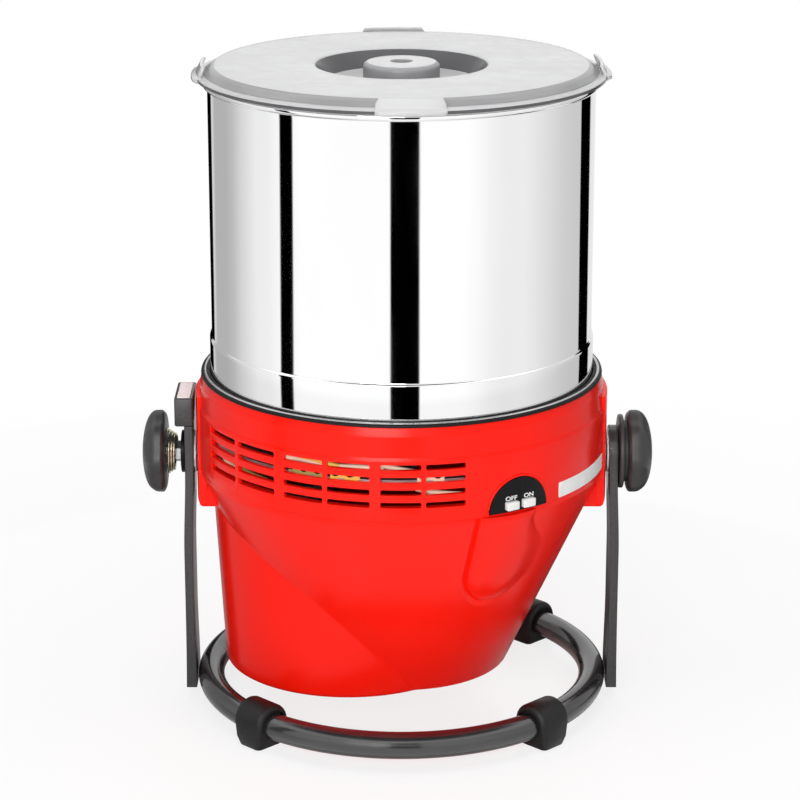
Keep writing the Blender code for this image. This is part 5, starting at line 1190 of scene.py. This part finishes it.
def make_world():
    """Soft light all round, and a brighter sky where it is seen, mirrored or seen through."""
    world = bpy.data.worlds.new("studio")
    bpy.context.scene.world = world
    world.use_nodes = True
    tree = world.node_tree
    tree.nodes.clear()
    output = new_node(tree, "OutputWorld")
    soft = new_node(tree, "Background")
    soft.inputs["Color"].default_value = (0.98, 0.99, 1.0, 1)
    soft.inputs["Strength"].default_value = SOFT_LIGHT
    white = new_node(tree, "Background")
    direction = new_node(tree, "TexCoord")
    height = new_node(tree, "SeparateXYZ")
    tree.links.new(direction.outputs["Generated"], height.inputs[0])
    tones = tuple((place_at, (tone, tone, tone)) for place_at, tone in ZENITH)
    tree.links.new(blended(tree, height.outputs["Z"], tones), white.inputs["Color"])
    path = new_node(tree, "LightPath")
    seen = path.outputs["Is Camera Ray"]
    for ray in ("Is Glossy Ray", "Is Transmission Ray"):
        seen = combined(tree, "MAXIMUM", seen, path.outputs[ray])
    mixed(tree, seen, soft, white, output.inputs["Surface"])


def make_camera():
    data = bpy.data.cameras.new("camera")
    data.lens = CAMERA_LENS
    data.sensor_width = 36
    data.shift_x = CAMERA_SHIFT
    data.clip_start = 0.05
    data.clip_end = 40
    camera = add("camera", data)
    camera.location = (0, -CAMERA_DISTANCE * MM, CAMERA_HEIGHT * MM)
    camera.rotation_euler = (radians(90 - CAMERA_PITCH), 0, 0)
    bpy.context.scene.camera = camera


def make_studio():
    bpy.context.scene.view_settings.view_transform = "Standard"
    make_world()
    make_floor()
    make_tent()
    for lamp in LAMPS:
        area_light(*lamp)
    make_camera()


def make_floor():
    reach = 6000
    points = [(-reach, -reach, 0), (reach, -reach, 0), (reach, reach, 0), (-reach, reach, 0)]
    floor = add("studio_floor", new_mesh("studio_floor", points, [(0, 1, 2, 3)]))
    made, tree, shader = nodes_of("studio_floor")
    shader.inputs["Base Color"].default_value = (0.90, 0.90, 0.90, 1)
    tree.links.new(mapped(tree, noise(tree, 6, 2), 0.16, 0.22), shader.inputs["Roughness"])
    glow = new_node(tree, "Emission")
    path = new_node(tree, "LightPath")
    spot = new_node(tree, "TexCoord")
    distance = new_node(tree, "VectorMath")
    distance.operation = "LENGTH"
    tree.links.new(spot.outputs["Object"], distance.inputs[0])
    share = mapped(tree, distance.outputs["Value"], 0.80, 1.0, 0.22, 0.75)
    seen = combined(tree, "MULTIPLY", path.outputs["Is Camera Ray"], share)
    mixed(tree, seen, shader, glow, tree.nodes["Material Output"].inputs["Surface"])
    floor.data.materials.append(made)


def make_tent(facets=720):
    """Cards round the machine and on the ground, light and dark, that only gloss sees."""
    points, faces, tones = [], [], []
    for rows, cards, flat in ((TENT_ROWS, TENT, False), (GROUND_ROWS, GROUND, True)):
        base, count = len(points), len(rows)
        for step in range(facets + 1):
            azimuth = -180 + 360 * step / facets
            sine, cosine = sin(radians(azimuth)), cos(radians(azimuth))
            for radius, height, share in rows:
                points.append((radius * sine, -radius * cosine, height))
                tones.append(card_tone(azimuth, cards) * share)
        for step in range(facets):
            for corner in range(base + count * step, base + count * step + count - 1):
                beside, above = corner + count, corner + 1
                if flat:
                    beside, above = above, beside
                faces.append((corner, beside, corner + count + 1, above))
    mesh = new_mesh("studio_cards", points, faces)
    tone = mesh.color_attributes.new("tone", "FLOAT_COLOR", "POINT")
    for index, value in enumerate(tones):
        tone.data[index].color = (value, value, value, 1)
    cards = add("studio_cards", mesh)
    made, tree, shader = nodes_of("studio_cards")
    tree.nodes.remove(shader)
    glow = new_node(tree, "Emission")
    painted = new_node(tree, "VertexColor")
    painted.layer_name = "tone"
    tree.links.new(painted.outputs["Color"], glow.inputs["Color"])
    tree.links.new(glow.outputs[0], tree.nodes["Material Output"].inputs["Surface"])
    mesh.materials.append(made)
    for ray in ("camera", "diffuse", "transmission", "shadow", "volume_scatter"):
        setattr(cards, "visible_" + ray, False)


def card_tone(azimuth, cards):
    """Brightness at an azimuth, between the nearest two of a table's entries."""
    for (start, low), (end, high) in zip(cards, cards[1:]):
        if start <= azimuth <= end:
            return low + (high - low) * (azimuth - start) / (end - start)
    return cards[-1][1]


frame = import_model()
NODES = frame["nodes"]

make_stand()
make_knobs()
make_collar()
make_seal()
make_leads()
make_body()
make_switch()
make_label()
make_drum()
make_lid()
make_tension_knob()
finish_carried()
make_studio()
